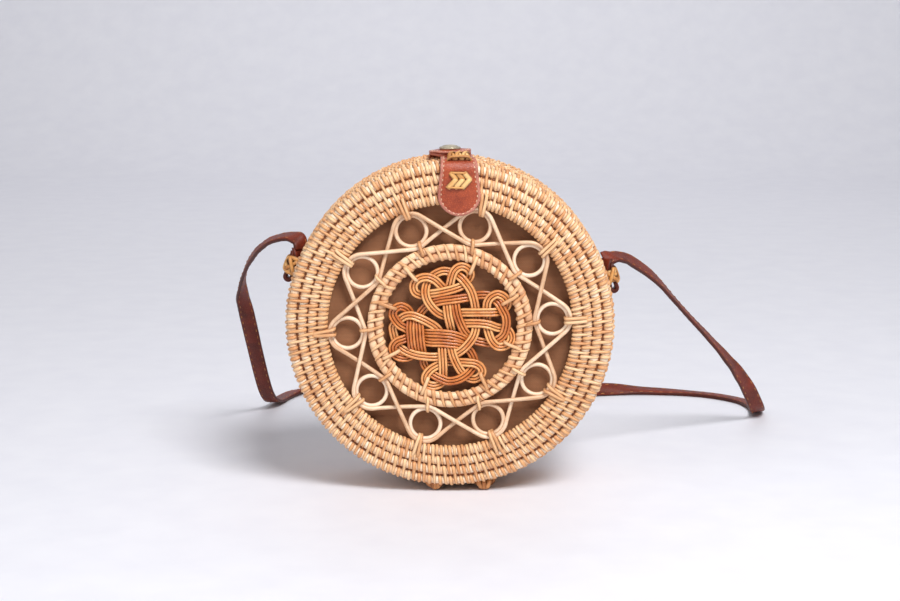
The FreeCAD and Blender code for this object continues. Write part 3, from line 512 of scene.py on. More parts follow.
def weave(stock, rows, count, sign, start, end, draw, tube=TUBE, binder=1.12, slant=0.4, recess=0.85,
          paired=True):
    """Coils wrapped in pale strips and bound with raised ones, each over two rows, stepped like bricks."""
    pitch = TURN / count
    last = len(rows) - 1
    # Angles by which a binder bridges two rows, dives in at its ends, and a wrap goes on past its row.
    bridge, dive, stop = 0.95, 0.36, 0.1
    lead = [start if i == 0 else heading(row, rows[i - 1]) for i, row in enumerate(rows)]
    tail = [end if i == last else heading(row, rows[i + 1]) for i, row in enumerate(rows)]
    for i, row in enumerate(rows):
        # Each row's core, and a thinner filler hoop in the gap to the next row, both dark as painted shade in
        # the gaps.
        hoop(stock, row[0], sign * row[1], tube - 1.0, 72, draw)
        if i < last:
            radius, depth = ((a + b) / 2 for a, b in zip(row, rows[i + 1]))
            hoop(stock, radius, sign * depth, tube * 0.45, 72, draw)
        for j in range(count):
            middle = (j + 0.5 - slant * i + draw.uniform(-0.06, 0.06)) * pitch
            rise = tube - recess - draw.uniform(0, 0.2)
            marks = []
            for k in range(8):
                share = k / 7
                marks.append((row, lead[i] - stop + (tail[i] - lead[i] + 2 * stop) * share,
                              rise + 0.45 * sin(pi * share),
                              middle + pitch * slant * 0.8 * (0.5 - share)))
            stock.loft(*laid(marks, sign), BROAD, 0.47 * pitch * row[0], 0.45, WRAP_SLOT, draw.random())
    for j in range(count):
        step = j % 2 if paired else 0
        spans = [(0, 0)] if step else []
        spans += [(i, min(i + 1, last)) for i in range(step, last + 1, 2)]
        for low, high in spans:
            if low == high:
                bends = [(low, lead[low] + (tail[low] - lead[low]) * k / 7) for k in range(8)]
            else:
                first = lead[low] - dive
                bends = [(low, first + (tail[low] + bridge - first) * k / 6) for k in range(7)]
                bends += [(high, lead[high] - bridge + (tail[high] + dive - lead[high] + bridge) * k / 6)
                          for k in range(7)]
            drift = draw.uniform(-0.08, 0.08)
            broad = binder * draw.uniform(0.92, 1.1)
            marks, widths = [], []
            for k, (i, angle) in enumerate(bends):
                share = k / (len(bends) - 1)
                middle = (j - slant * low + slant * (0.5 - share * (high - low + 1)) + drift) * pitch
                dip = min(1.0, 7 * share, 2.2 * (1 - share))
                marks.append((rows[i], angle, tube - 0.8 + 0.9 * dip, middle))
                widths.append(broad * (1.18 - 0.72 * share ** 1.5))
            stock.loft(*laid(marks, sign), CROWN, widths, 0.85, BINDER_SLOT, draw.random())


def disc(stock, radii, depth, sign, draw):
    """The closed back: coils round a small button, each with its own count of wraps."""
    for i, radius in enumerate(radii):
        row = (radius, depth)
        hoop(stock, radius, sign * depth, TUBE - 0.5, 60, draw)
        count = max(7, round(TURN * radius / COIL_PITCH))
        pitch = TURN / count
        for j in range(count):
            middle = (j + 0.5 * (i % 2) + draw.uniform(-0.05, 0.05)) * pitch
            for shift, profile, half, thick, slot, rise, bulge in (
                    (0.5, BROAD, 0.3 * pitch * radius, 0.5, WRAP_SLOT, TUBE - 0.42, 0.3),
                    (0.0, CROWN, 1.0, 0.55, BINDER_SLOT, TUBE - 0.5, 0.7)):
                marks = []
                for k in range(7):
                    share = k / 6
                    marks.append((row, pi * (1 - share), rise + bulge * sin(pi * share),
                                  middle + (shift + 0.4 * (0.5 - share)) * pitch))
                stock.loft(*laid(marks, sign), profile, half, thick, slot, draw.random())


COILS = [WRAP, BINDER, CORE_AND_GAP_SHADE]
WRAP_SLOT, BINDER_SLOT, CORE_AND_GAP_SHADE_SLOT = range(3)
front = Stock()
weave(front, BORDER_ROWS + [EDGE_ROW] + WALL_ROWS, BINDERS, 1, radians(235), radians(-115),
      random.Random(11))
front.build("front_coils", "front_shell", COILS, "coil_rattan", ["front_coil_wall", "front_coil_border"])
back = Stock()
draw = random.Random(12)
weave(back, BORDER_ROWS[2:] + [EDGE_ROW] + WALL_ROWS, BINDERS, -1, radians(180), radians(-115),
      draw)
disc(back, [BORDER_ROWS[1][0] - COIL_PITCH * k for k in range(14)], FACE_DEPTH, -1, draw)
back.lathe(Vector((0, 33.0, AXIS)), Y, X,
           [(0, -1.2), (3.6, -0.9), (4.4, 0.5), (3.7, 2.4), (2, 3.4), (0, 3.7)], BINDER_SLOT, 0.4, 24)
back.build("back_coils", "back_shell", COILS, "coil_rattan", ["back_coil_wall", "back_coil_disc"])
ring = Stock()
weave(ring, RING_ROWS, RING_BINDERS, 1, radians(235), radians(-55), random.Random(13), RING_TUBE,
      binder=1.2, slant=0.5, recess=0.65, paired=False)
ring.build("inner_ring_coils", "front_shell", [PATCH, TIE, CORE_AND_GAP_SHADE], "coil_rattan", ["inner_ring"])


# Scroll work


# How far a wave lies behind the face's middle: beside a ring, over the other wave and under it.
WAVE_BESIDE, WAVE_OVER, WAVE_UNDER = -0.75, -1.45, 1.2


def scroll_centre(k):
    theta = SCROLL_FIRST + TURN * k / SCROLLS
    return Vector((SCROLL_CENTRE * sin(theta), SCROLL_CENTRE * cos(theta)))


def wave_path(side, radius):
    """One cane round all the rings, outside one and inside the next, over or under at each crossing."""
    points = []
    for k in range(SCROLLS):
        here, then, nxt = scroll_centre(k), scroll_centre(k - 1), scroll_centre(k + 1)
        out = here.normalized() * (side if k % 2 == 0 else -side)

        def touch(other):
            way = other - here
            share = 2 * radius / way.length
            way.normalize()
            square = Vector((-way.y, way.x))
            if square.dot(out) < 0:
                square = -square
            return way * share + square * sqrt(1 - share * share)

        def turn(arm):
            return atan2(out.x * arm.y - out.y * arm.x, out.dot(arm))

        a, b = turn(touch(then)), turn(touch(nxt))
        for i in range(13):
            angle = a + (b - a) * i / 12
            arm = Vector((out.x * cos(angle) - out.y * sin(angle),
                          out.x * sin(angle) + out.y * cos(angle)))
            points.append((here + arm * radius, WAVE_BESIDE))
        leave = here + touch(nxt) * radius
        meet = nxt - touch(nxt) * radius
        crossing = WAVE_OVER if out.dot(here) > 0 else WAVE_UNDER
        for i in range(1, 10):
            share = i / 10
            part = sin(pi * share) ** 0.7
            points.append((leave.lerp(meet, share), crossing * part + WAVE_BESIDE * (1 - part)))
    return [Vector((p.x, FACE_DEPTH + rise, AXIS + p.y)) for p, rise in points]


loops = Stock()
draw = random.Random(21)
for k in range(SCROLLS):
    centre = scroll_centre(k)
    loops.tube([Vector((centre.x + SCROLL_RING * sin(TURN * i / 48), FACE_DEPTH + 0.85,
                        AXIS + centre.y + SCROLL_RING * cos(TURN * i / 48))) for i in range(48)],
               SCROLL_CANE, 0, draw.random(), ring=True)
# A cut end beside the upper left ring.
loops.tube([Vector((-15.7, FACE_DEPTH - 1.2, AXIS + 44.9)), Vector((-18.0, FACE_DEPTH - 1.3, AXIS + 43.2)),
            Vector((-20.4, FACE_DEPTH - 1.0, AXIS + 41.6))], 1.15, 0, 0.9)
loops.build("scroll_loops", "front_shell", [SCROLL], "scroll_cane", ["scroll_rings"])
for name, node, side in (("scroll_wave_front", "scroll_cane_front", -1),
                         ("scroll_wave_back", "scroll_cane_back", 1)):
    wave = Stock()
    wave.tube(wave_path(side, SCROLL_WAVE), SCROLL_CANE, 0, draw.random(), ring=True)
    wave.build(name, "front_shell", [SCROLL], "scroll_cane", [node])


def wound(stock, centre, across, out, along, reach, depth, half, slant, draw, powers=(0.45, 0.5),
          thick=0.75):
    """A strip wound round a centre: across it, down both its sides and under it."""
    path, normals = [], []
    for k in range(24):
        a = TURN * k / 24
        c, s = cos(a), sin(a)
        path.append(centre + across * (reach * copysign(abs(c) ** powers[0], c))
                    + out * (depth * copysign(abs(s) ** powers[1], s)) + along * (slant * c))
        normals.append((across * (c * depth) + out * (s * reach)).normalized())
    stock.loft(path, normals, CROWN, half, thick, 0, draw.random(), ring=True)


def tie(stock, theta, inner, outer, depth, half, shift, slant, draw):
    """A strip wound round whatever lies between two radii of the face."""
    out = Vector((sin(theta), 0, cos(theta)))
    square = Vector((cos(theta), 0, -sin(theta)))
    centre = polar((inner + outer) / 2, theta, FACE_DEPTH) + square * shift
    wound(stock, centre, out, -Y, square, (outer - inner) / 2, depth, half, slant, draw, (0.55, 0.55), 0.6)


outer_ties, inner_ties, knot_ties = Stock(), Stock(), Stock()
draw = random.Random(31)
for k in range(SCROLLS):
    theta = SCROLL_FIRST + TURN * k / SCROLLS
    for shift in (0.1, 2.4):
        tie(outer_ties, theta, 69.8, 83.8, 4.3, 1.15, shift, draw.uniform(-1.2, 1.2), draw)
    tie(inner_ties, theta, 46.0, 54.6, 3.9, 1.1, 1.5, draw.uniform(-1.2, 1.2), draw)
outer_ties.build("scroll_ties_outer_strips", "front_shell", [TIE], "lashing_strip", ["scroll_ties_outer"])
inner_ties.build("scroll_ties_inner_strips", "front_shell", [TIE], "lashing_strip", ["scroll_ties_inner"])
KNOT_TIES = [(-21.3, 28.8), (13.9, 36.6), (35.9, 16.2), (34.9, -11.0), (19.2, -31.7), (-15.8, -38.0),
             (-38.3, -18.6), (-34.3, 11.5)]
for x, z in KNOT_TIES:
    tie(knot_ties, atan2(x, z), 34.2, 45.6, 3.3, 1.2, 0, draw.uniform(-1, 1), draw)
knot_ties.build("knot_tie_strips", "front_shell", [TIE], "lashing_strip", ["knot_ties"])


# Woven knot: one band of three canes, over and under itself


KNOT_FIRST = [
    (3, 17.6, -1), (3.5, 12.2, 0.6), (4.4, 7.4, 1), (6, 2.7, 1), (8.1, -1.9, 0.8), (11, -5.9, -0.3),
    (14.7, -8.9, -1), (19.7, -10.2, -1), (24.3, -10.6, -1), (28.7, -8.6, 0), (32.5, -5.2, 0.6),
    (34.2, 0.6, 1), (33.9, 6, 1), (31.9, 10.1, 1), (29.8, 13.7, 0.5), (27.1, 16.4, -0.6), (24.3, 18.2, -1),
    (19.7, 18.9, -1), (15.1, 18.4, -1), (10.1, 17.6, 0.3), (3, 16.7, 1), (-4.1, 15.8, 1), (-8.5, 14.8, 0.6),
    (-12.7, 13, -1), (-16.5, 9.7, -1), (-18.8, 5.8, -1), (-18.6, 2.4, 0), (-18.4, -1.6, 1),
    (-18.1, -6.6, 1), (-17.5, -12, 1), (-16.8, -16.3, -0.3), (-16.3, -19.6, -1), (-15.8, -23.5, -1),
    (-13.5, -27.3, -1), (-10.3, -30, 0), (-5.6, -32.3, 0.7), (-0.9, -33.8, 1), (4.8, -32.9, 1),
    (9.4, -30.4, 0.6), (12.6, -27.3, 0), (14.9, -23.5, -1), (13.8, -18.5, -1), (10.8, -14.3, -1),
    (5.8, -11.6, 0.2), (-0.5, -10.6, 1), (-5.9, -10, 1), (-11, -10, 0.8), (-15.6, -9.5, -0.6),
    (-20.9, -5.9, -1), (-25.9, -2.1, -0.2), (-30.5, 0.6, 0.3), (-33.7, 4.5, 0.4), (-34.8, 7.6, 0.3),
    (-33.3, 10.8, 0.2), (-29.8, 12.2, 0), (-25.9, 10.4, -0.6), (-24.1, 6.8, -1), (-23.9, 2.7, 0),
    (-24.1, -1.6, 1), (-23.8, -6.6, 1), (-23.2, -12, 1), (-22.5, -15.6, -0.2), (-23.4, -18.3, -1),
    (-26.2, -19.6, -0.8), (-29.6, -19.6, -0.3), (-32.8, -18.2, 0), (-34.5, -15.5, 0.5), (-34.6, -12.2, 0.8),
    (-32.2, -9.3, 1), (-28, -7.9, 0.6), (-24.1, -6.6, -0.8), (-19.8, -5, -1), (-15.6, -4.3, -0.5),
    (-11, -4.1, 0.8), (-5.7, -4.3, 1), (0.9, -5, 1), (6.6, -6.8, 0.4), (10.1, -8.8, -0.6),
    (13.7, -10.6, -1.1),
]
KNOT_SECOND = [
    (3, 17.6, -1), (0.2, 19.4, -1), (-2.8, 22, -0.5), (-5.6, 25, 0.3), (-9, 28.3, 0.8), (-13.5, 30.2, 1),
    (-17.7, 29.7, 0.8), (-20.7, 27.7, 0.5), (-22.2, 24.5, 0.2), (-21.1, 20.7, 0), (-17.4, 18.9, -0.8),
    (-12.7, 19.8, 0), (-8.5, 20.5, 0.8), (-2.3, 21.8, 1), (3, 23.2, 0.8), (6.6, 24.5, 0.2), (9.4, 26.5, -1),
    (11.7, 29.3, -0.8), (12.4, 32.2, -0.2), (11, 34.9, 0.3), (8.3, 36.5, 0.6), (5.3, 36.3, 0.8),
    (2.6, 34, 0.9), (1, 30.2, 0.9), (0, 25.9, 0.4), (-1.3, 21.2, -1), (-2.1, 16.2, -1), (-1.8, 12.2, 0.6),
    (-1.1, 6.1, 1), (0, 1.3, 0.8), (0.9, -3.7, -1), (0.7, -9.1, -1), (0.9, -14.2, 0.4), (2.3, -19.2, 0.9),
    (4.8, -24.6, 0.9), (7.4, -28.7, 0.2), (10.8, -32, -1), (14.5, -33.1, -0.6), (18.1, -31.3, -0.2),
    (19.7, -28, 0.3), (18.3, -24.8, 0.6), (15.1, -23, 0.8), (10.5, -22.4, 0.7), (5.8, -22.3, 0.3),
    (1.2, -22.4, -0.8), (-3.7, -22.8, -1), (-8, -24.4, 0.3), (-11.9, -26.8, 0.7), (-14.7, -30.4, 0.8),
    (-15, -34, 0.5), (-12.9, -36.4, 0.2), (-9.2, -37, 0), (-5.7, -35.7, -0.5), (-4.3, -33.4, -1),
    (-4.2, -30, 0.4), (-4.2, -25.3, 1), (-4.5, -19.9, 1), (-4.8, -14.9, 0.8), (-4.9, -10.9, -1),
    (-5.6, -5.5, -1), (-8.3, -0.9, 0.4), (-12.7, 2.3, 0.9), (-18.1, 5, 1), (-23.4, 6.8, 1),
    (-27.5, 6.1, 0.5), (-30.5, 4, -0.3), (-33, 1.8, -0.9), (-34.8, -0.9, -1), (-34.4, -4.5, -1),
    (-33.2, -8.8, -1), (-30.9, -12.7, -0.3), (-28.4, -14.7, 0.2), (-24.5, -16.5, 0.6), (-19.5, -17.9, 1),
    (-12.7, -18.7, 1), (-8.1, -18.8, 0.6), (-4.2, -18.3, -1), (0.5, -18.1, -0.8), (4.1, -16.9, 0.3),
    (8.3, -13.8, 1), (11.9, -9.8, 1), (14.4, -5.9, 1), (15.6, -1.9, 0.5), (15.9, 3.1, -1), (15.7, 6.8, -1),
    (15.4, 11.2, 0.4), (14.4, 16.6, 1), (12.6, 22, 1), (9.6, 26.6, 1), (6.7, 29.7, 0.6), (3.5, 31.8, -0.7),
    (0.5, 32.9, -1), (-3.7, 33.6, -1), (-6.6, 32.9, -1), (-10, 30.9, -1), (-13.1, 27.7, -0.5),
    (-14.5, 24.5, 0.3), (-14.9, 20.9, 0.9), (-14, 16.6, 1), (-11.3, 12.2, 1), (-8, 8.8, 0.8),
    (-4.6, 6.7, -0.2), (-1.4, 6.1, -1), (3, 7.2, -1), (7.6, 8.3, 0.2), (13.7, 8.6, 1), (20.8, 8.6, 1),
    (26.8, 8.6, 0.6), (31, 9.2, -1), (34.1, 11.5, -0.7), (34.8, 14.8, -0.2), (32.6, 18.2, 0.4),
    (28.6, 19.8, 0.8), (24.8, 18, 0.8), (22.7, 14.8, 0.7), (22.2, 11.2, 0.2), (22.2, 7.6, -1),
    (22.5, 3.2, -1), (22.7, -1.2, -0.4), (23.8, -5.5, 0.5), (25.7, -9.5, 0.8), (28.9, -12.4, 0.8),
    (32.8, -12.4, 0.5), (36.2, -10.4, 0.1), (37.4, -7.3, -0.3), (36.4, -4.1, -0.7), (33.5, -1.8, -1),
    (28.9, -0.9, 0.2), (24.3, 0.9, 0.9), (19, 1.8, 1), (13.7, 2, 1), (9.4, 1.8, 0.3), (5.8, 2, -1),
]
KNOT_CANE = 0.88
KNOT_PITCH = 1.88
KNOT_LAYER = 1.5


def band(stock, route, draw):
    """Three canes side by side along a traced route of (x, z, layer)."""
    line = smooth([Vector((x, -layer * KNOT_LAYER, z)) for x, z, layer in route], 6)
    for lane in (-1, 0, 1):
        path = []
        for i, point in enumerate(line):
            way = line[min(i + 1, len(line) - 1)] - line[max(i - 1, 0)]
            side = Vector((way.z, 0, -way.x)).normalized()
            path.append(point + side * (lane * KNOT_PITCH) + Vector((0, FACE_DEPTH, AXIS)))
        stock.tube(path, KNOT_CANE, 0, draw.random())


knot = Stock()
draw = random.Random(41)
band(knot, KNOT_FIRST, draw)
band(knot, KNOT_SECOND, draw)
knot.build("knot_canes", "front_shell", [KNOT], "knot_rattan",
           ["knot_band_upright", "knot_band_level", "knot_arches"])


# Lining


LINING_RINGS = [0, 12, 24, 36, 48, 60, 70, 80, 88, LINING_RADIUS]
LINING_STEPS = 96


def lining_disc(name, body, depth, node, draw, puff):
    """A round of cloth, slightly slack, facing the front or the back."""
    stock = Stock()
    waves = [(draw.uniform(2, 5), draw.uniform(0, TURN), draw.uniform(0.02, 0.05)) for _ in range(5)]
    rings = []
    for radius in LINING_RINGS:
        ease = 1 - (radius / LINING_RADIUS) ** 4
        around = []
        for k in range(LINING_STEPS if radius else 1):
            theta = TURN * k / LINING_STEPS
            sag = sum(sin(theta * round(f) + p + radius * w) for f, p, w in waves) * 0.16 * ease
            around.append(stock.vertex(polar(radius, theta, depth + puff * ease + sag), (radius, 0, 0.5)))
        rings.append(around)
    stock.skin(rings, flip=True)
    piece = stock.build(name, body, [LINING], "lining_cloth", [node])


def lining_wall(name, body, low, high, node):
    """A sleeve of cloth inside the wall."""
    stock = Stock()
    rings = []
    for share in (k / 5 for k in range(6)):
        around = []
        for k in range(LINING_STEPS):
            theta = TURN * k / LINING_STEPS
            slack = 0.12 * sin(theta * 23) * sin(pi * share)
            depth = low + (high - low) * share
            around.append(stock.vertex(polar(LINING_RADIUS + slack, theta, depth), (depth, 0, 0.5)))
        rings.append(around)
    stock.skin(rings, flip=True)
    piece = stock.build(name, body, [LINING], "lining_cloth", [node])


draw = random.Random(51)
lining_disc("front_lining_cloth", "front_shell", -27.7, "front_lining_disc", draw, -0.4)
lining_disc("back_lining_cloth", "back_shell", 30.1, "back_lining_disc", draw, -0.3)
lining_wall("front_lining_sleeve", "front_shell", -27.6, -2.0, "front_lining_wall")
lining_wall("back_lining_sleeve", "back_shell", 2.0, 30.0, "back_lining_wall")


# Leather tab and closing strap


# The tab hangs down the face, bends over the top edge and draws in a little there.
TAB_BOTTOM, TAB_BEND, TAB_DRAWN = AXIS + 68.5, AXIS + 94.25, 1.5
BEND_DEPTH, BEND_RADIUS = -30.95, 6 + MID
FLAP_Z = AXIS + 104.45 + MID


def leaf_widths(path, half, corner):
    """Half widths along a strip whose first end is rounded with the given corner."""
    widths = []
    length = 0.0
    for i, point in enumerate(path):
        length += (point - path[max(i - 1, 0)]).length
        drop = corner - sqrt(corner ** 2 - max(corner - length, 0) ** 2)
        widths.append(max(half - drop, 0.15))
    return widths


def outline(path, normals, widths, inset):
    """A leaf's edge, down one side, round its first end and up the other, and which way is out."""
    left, right = [], []
    for i, point in enumerate(path):
        way = path[min(i + 1, len(path) - 1)] - path[max(i - 1, 0)]
        side = way.cross(normals[i]).normalized() * (widths[i] - inset)
        if widths[i] > inset:
            left.append((point + side, normals[i]))
            right.append((point - side, normals[i]))
    line = left[::-1] + right
    return [point for point, _ in line], [out for _, out in line]


def leaf(name, body, node, path, normals, widths, draw, profile=HIDE, drop=lambda point: 0.0):
    """A leather leaf with a raw rim and a sewn edge. drop is how far its surface is let down."""
    hide = Stock()
    hide.loft(path, normals, profile, widths, LEATHER)
    edge, outs = outline(path, normals, widths, 0.9)
    hide.loft([p + n * (MID - 0.2 - drop(p)) for p, n in zip(edge, outs)], outs, ROUND, 0.95, 0.5, 1)
    hide.build(name + "_leather", body, [TAB, RIM], "tab_leather", [node])
    seam = Stock()
    edge, outs = outline(path, normals, widths, 2.0)
    stitches(seam, [p - n * drop(p) for p, n in zip(edge, outs)], outs, 0, MID, 2.9, 0.33, draw)
    seam.build(name + "_stitching", body, [TAB_THREAD], "tab_leather")


tab_path, tab_out = [], []
for k in range(30):
    height = TAB_BOTTOM + (TAB_BEND - TAB_BOTTOM) * (k / 29) ** 1.6
    tab_path.append(Vector((TAB_X, BEND_DEPTH - BEND_RADIUS, height)))
    tab_out.append(-Y)
for k in range(1, 13):
    a = pi / 2 * k / 12
    out = Vector((0, -cos(a), sin(a)))
    tab_path.append(Vector((TAB_X - TAB_DRAWN * (k / 12) ** 2, BEND_DEPTH, TAB_BEND)) + out * BEND_RADIUS)
    tab_out.append(out)
for k in range(1, 11):
    tab_path.append(Vector((TAB_X - TAB_DRAWN, BEND_DEPTH + 25.95 * k / 10, TAB_BEND + BEND_RADIUS)))
    tab_out.append(Z)
draw = random.Random(61)
tab_widths = [width - 1.9 * min(max((point.z - AXIS - 78) / 16, 0), 1) - (TAB_X - point.x)
              for width, point in zip(leaf_widths(tab_path, TAB_HALF + 0.3, 12.7), tab_path)]
leaf("front_tab", "front_shell", "front_tab", tab_path, tab_out, tab_widths, draw)

flap_path, flap_out = [], []
for k in range(22):
    reach = 18 * (k / 21) ** 1.5
    bow = max(0, 1 - reach / 6)
    flap_path.append(Vector((0, -22 + reach, FLAP_Z - 1.2 * bow ** 2)))
    flap_out.append(Vector((0, -0.4 * bow, 1)).normalized())
for k in range(1, 9):
    share = k / 8
    ease = share * share * (3 - 2 * share)
    flap_path.append(Vector((0, -4 + 8.4 * share, FLAP_Z - 4.2 * ease)))
    flap_out.append(Vector((0, 0.5 * sin(pi * share), 1)).normalized())


def flap_drop(share):
    """How far the flap's surface is let down, its left side more, with share the place across it."""
    return (2.2 if share < 0 else 0.9) * share ** 2


arched = [(across, rise - flap_drop(across) / LEATHER) for across, rise in HIDE[:-2]]
arched += [(across, -0.5 - flap_drop(across) / LEATHER) for across in (0.95, 0.4, 0, -0.4, -0.95)]
leaf("closure_flap", "closing_flap", "closure_strap", flap_path, flap_out,
     leaf_widths(flap_path, TAB_HALF, 11), draw, arched, lambda point: flap_drop(point.x / TAB_HALF))

base_path = [Vector((0, 23.55 - 19.0 * k / 14, AXIS + 100.25 + MID)) for k in range(15)]
leaf("closure_base", "back_shell", "closure_base", base_path, [Z] * 15,
     leaf_widths(base_path, TAB_HALF, 6), draw)

cap = Stock()
cap.lathe(Vector((0, -13, AXIS + 106.25)), Z, X,
          [(0, -0.6), (6.2, -0.6), (6.5, 0.3), (6.5, 0.75), (6.1, 1.15), (5.5, 1.2), (5.2, 1.35),
           (4.2, 1.95), (2.8, 2.3), (1.2, 2.45), (0, 2.48)])
cap.build("snap_cap_dome", "closing_flap", [PEWTER], "snap_metal", ["snap_cap"])


# Lashings


def lace(stock, start, end, out, lift, half, draw):
    """A strip laid over a face from one hole to another, both ends diving in."""
    marks = [start - out * 0.7, start.lerp(end, 0.12) + out * lift * 0.75, start.lerp(end, 0.5) + out * lift,
             start.lerp(end, 0.88) + out * lift * 0.75, end - out * 0.7]
    path = smooth(marks, 4)
    stock.loft(path, [out] * len(path), CROWN, half, 0.75, 0, draw.random())


draw = random.Random(71)
lower = Stock()
face = Vector((TAB_X - 0.1, -38.75, AXIS + 89.3))
for k in range(3):
    tip = face + X * (-1.4 + 4.1 * k)
    lace(lower, face + X * (-5.0 + 4.0 * k) + Z * 4.4, tip, -Y, 0.8, 1.7, draw)
    lace(lower, tip + Z * 0.9, face + X * (-6.6 + 4.2 * k) - Z * 4.7, -Y, 1.3, 1.7, draw)
lace(lower, face - X * 5.2 + Z * 4.5, face + X * 4.8 + Z * 4.3, -Y, 1.2, 0.8, draw)
lace(lower, face - X * 7.6 - Z * 4.2, face + X * 3.0 - Z * 4.6, -Y, 1.4, 0.75, draw)
lower.build("tab_lashing_lower_strips", "front_shell", [GOLD], "lashing_strip", ["tab_lashing_lower"])
upper = Stock()
bend = Vector((TAB_X, -34.9, AXIS + 100.9))
lace(upper, bend - X * 7.2, bend + X * 7.2 + Z * 0.4, Vector((0, -0.52, 0.855)), 2.7, 1.2, draw)
top = Vector((0, -0.1, 1)).normalized()
for k in range(3):
    left = TAB_X - 5.4 + 4.1 * k
    for first, second, lift in ((left + 2.4, left - 0.8, 2.9), (left - 0.8, left + 2.6, 3.7)):
        lace(upper, Vector((first, -34.2, AXIS + 101.3)), Vector((second, -24.4, AXIS + 102.0)), top, lift,
             1.25, draw)
upper.build("tab_lashing_upper_strips", "front_shell", [GOLD], "lashing_strip", ["tab_lashing_upper"])
rear = Stock()
for shift in (-5.8, 0, 5.8):
    for slant, lift in ((1.1, 0.0), (-1.1, 0.35)):
        wound(rear, Vector((shift, 15.15, AXIS + 99.2)), Y, Z, X, 3.2, 3.1 + lift, 1.2, slant, draw)
rear.build("closure_lashing_strips", "back_shell", [GOLD], "lashing_strip", ["closure_lashing"])


# Ends of the shoulder strap


def strap_end(side, theta, draw):
    """The folded leather end with its eye, and the strips that tie it to the wall."""
    turn = radians(theta)
    out = Vector((sin(turn), 0, cos(turn)))
    up = Vector((-cos(turn), 0, sin(turn))) * (1 if theta > 0 else -1)

    def at(along, radius, across=0.0):
        return Vector((0, ANCHOR_DEPTH, AXIS)) + out * radius + up * along + Y * across

    fold = [at(7, 103.6), at(2, 102.4), at(-6, 102.1)]
    normals = [-out - Y, -out - 0.4 * Y, -out]
    for k in range(1, 13):
        a = pi * k / 12
        fold.append(at(-11.6 - 2.5 * sin(a), 103.8 - 2.2 * cos(a)))
        normals.append(-up * sin(a) - out * cos(a))
    fold += [at(-6, 105.4), at(0, 105.2), at(4, 104.8)]
    normals += [out, out + 0.2 * Y, out + 0.5 * Y]
    end = Stock()
    end.loft(fold, normals, HIDE, STRAP_WIDTH / 2, 2.4)
    end.build("strap_end_%s" % side, "back_shell", [STRAP], "strap_leather", ["strap_anchor_%s" % side])
    strips = Stock()
    for k in range(3):
        wound(strips, at(-7.0 + 2.9 * k, 102.6), Y, out, up, 6.4, 4.9 + 0.4 * draw.random(), 1.5,
              draw.uniform(-2.4, 2.4), draw)
    lace(strips, at(-8.8, 107, -5), at(0.6, 107, 4), out, 1.7, 1.35, draw)
    lace(strips, at(0.2, 107, -4.5), at(-7.8, 107, 3.5), out, 1.2, 1.3, draw)
    lace(strips, at(-8.6, 101.5, -6.6), at(0.4, 106.8, -6.2), -Y, 1.5, 1.35, draw)
    lace(strips, at(-0.6, 101.5, -6.6), at(-7.4, 107.2, -6.2), -Y, 0.9, 1.3, draw)
    strips.build("strap_end_strips_%s" % side, "back_shell", [GOLD], "lashing_strip",
                 ["anchor_lashing_%s" % side])


for side, theta in ANCHOR_ANGLES:
    strap_end(side, theta, draw)


# Hinges and feet


def foot(stock, x, y, draw):
    """A lump of lashing under the wall: strips drawn together below, carried round the hinge strap."""
    for k in range(5):
        shift = (k - 2) / 2
        slant = draw.uniform(-1.4, 1.4)
        path, normals = [], []
        for i in range(13):
            a = pi * i / 12
            c, s = cos(a), sin(a)
            path.append(Vector((x + shift * (5.0 - 1.9 * s) + slant * c,
                                y + 3.3 * copysign(abs(c) ** 0.6, c),
                                7.0 - (6.2 - 1.7 * shift ** 2) * abs(s) ** 0.6)))
            normals.append(Vector((0.5 * shift * s, c, -s - 0.05)).normalized())
        stock.loft(path, normals, CROWN, 1.5, 0.6, 0, draw.random())


# The feet take the darker hinge cane, partly as painted shade under the bag.
for body, node, y in (("front_shell", "front_foot_lashings", -29), ("back_shell", "back_foot_lashings", 29)):
    lumps = Stock()
    for x in FEET_X:
        foot(lumps, x, y, draw)
    lumps.build(node + "_strips", body, [HINGE], "lashing_strip", [node])

# The nodes that stay as they are get their looks.
for node, material in (("hinge_back_straps", HINGE), ("hinge_front_straps", HINGE), ("hinge_pins", HINGE),
                       ("snap_stud", PEWTER), ("snap_socket", PEWTER)):
    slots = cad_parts[node].data.materials
    slots.clear()
    slots.append(material)


# Floor, light and camera


FLOOR_NEAR, FLOOR_FAR, FLOOR_SIDE = -2.5, 2.0, 4
SWEEP, WALL_TOP = 0.6, 3.0
OPENING, OPEN_BELOW = 0.2, 0.001
SKY_LIGHT, SKY_SEEN = 0.24, 0.46
BAG = (0, 0, 0.1)


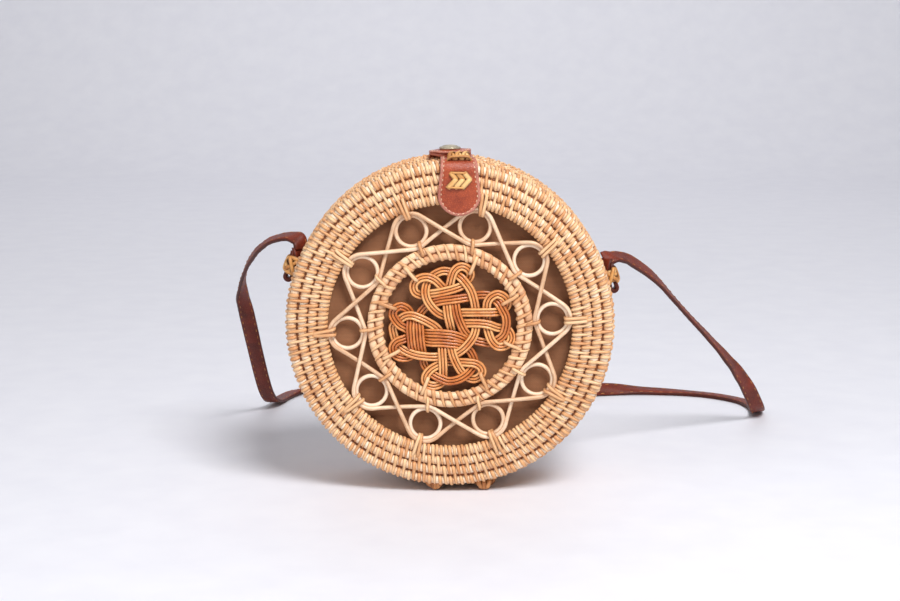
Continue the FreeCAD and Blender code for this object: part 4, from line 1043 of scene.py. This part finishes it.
def backdrop():
    """A pale floor that rises into a plain wall behind."""
    line = [(FLOOR_NEAR, 0.0), (FLOOR_FAR, 0.0)]
    for k in range(1, 13):
        a = pi / 2 * k / 12
        line.append((FLOOR_FAR + SWEEP * sin(a), SWEEP - SWEEP * cos(a)))
    line.append((FLOOR_FAR + SWEEP, WALL_TOP))
    verts = [(x, y, z) for y, z in line for x in (-FLOOR_SIDE, FLOOR_SIDE)]
    faces = [(2 * i, 2 * i + 1, 2 * i + 3, 2 * i + 2) for i in range(len(line) - 1)]
    mesh = bpy.data.meshes.new("floor")
    mesh.from_pydata(verts, [], faces)
    mesh.polygons.foreach_set("use_smooth", [True] * len(faces))
    n = Nodes("floor_pale")
    spots = n.noise(n.place(), 30.0, 2.0)
    pale = n.finish(n.ramp(spots, [(0.3, (231, 231, 239)), (0.7, (235, 235, 242))]), 0.5, 0.6, spots,
                    specular=0.3)
    # The bag stands on its hinge, so the floor opens where the front half swings down through it.
    lid = n.add("ShaderNodeTexCoord", object=bpy.data.objects["front_coils"]).outputs["Object"]
    reach = n.add("ShaderNodeVectorMath", {0: lid}, operation="DISTANCE")
    reach.inputs[1].default_value = (0, 0, AXIS * MM)
    height = n.add("ShaderNodeSeparateXYZ", {0: lid}).outputs["Z"]
    opened = n.times(n.math("LESS_THAN", reach.outputs["Value"], OPENING),
                     n.math("GREATER_THAN", height, OPEN_BELOW))
    n.feed(n.shader.inputs["Alpha"], n.math("SUBTRACT", 1.0, opened))
    mesh.materials.append(pale)
    floor = bpy.data.objects.new("floor", mesh)
    bpy.context.scene.collection.objects.link(floor)


def lamp(name, place, size, power, target):
    light = bpy.data.lights.new(name, "AREA")
    light.size = size
    light.energy = power
    holder = bpy.data.objects.new(name, light)
    holder.location = place
    holder.rotation_euler = (Vector(target) - Vector(place)).to_track_quat("-Z", "Y").to_euler()
    bpy.context.scene.collection.objects.link(holder)


def sky():
    """Even white light, brighter where the camera, a reflection or glass looks straight at it."""
    world = bpy.data.worlds.new("studio")
    bpy.context.scene.world = world
    world.use_nodes = True
    tree = world.node_tree
    rays = tree.nodes.new("ShaderNodeLightPath")

    seen = rays.outputs["Is Camera Ray"]
    for kind in ("Is Glossy Ray", "Is Transmission Ray"):
        node = tree.nodes.new("ShaderNodeMath")
        node.use_clamp = True
        tree.links.new(seen, node.inputs[0])
        tree.links.new(rays.outputs[kind], node.inputs[1])
        seen = node.outputs[0]
    level = tree.nodes.new("ShaderNodeMath")
    level.operation = "MULTIPLY_ADD"
    level.inputs[1].default_value = SKY_SEEN
    level.inputs[2].default_value = SKY_LIGHT
    tree.links.new(seen, level.inputs[0])
    light = tree.nodes["Background"].inputs
    light["Color"].default_value = (1, 1, 1, 1)
    tree.links.new(level.outputs[0], light["Strength"])


backdrop()
lamp("key", (0.6, -1.15, 1.65), 0.8, 42, BAG)
lamp("fill", (-1.3, -1.0, 0.8), 1.2, 6, BAG)
lamp("wall", (0, 1.6, 2.0), 1.5, 13, (0, 2.6, 0.6))
sky()

lens = bpy.data.cameras.new("photo")
lens.sensor_width = 36
lens.lens = 72
camera = bpy.data.objects.new("photo", lens)
camera.location = (0, -1.112, 0.290)
camera.rotation_euler = (radians(81), 0, 0)
bpy.context.scene.collection.objects.link(camera)
bpy.context.scene.camera = camera
bpy.context.scene.view_settings.view_transform = "Standard"
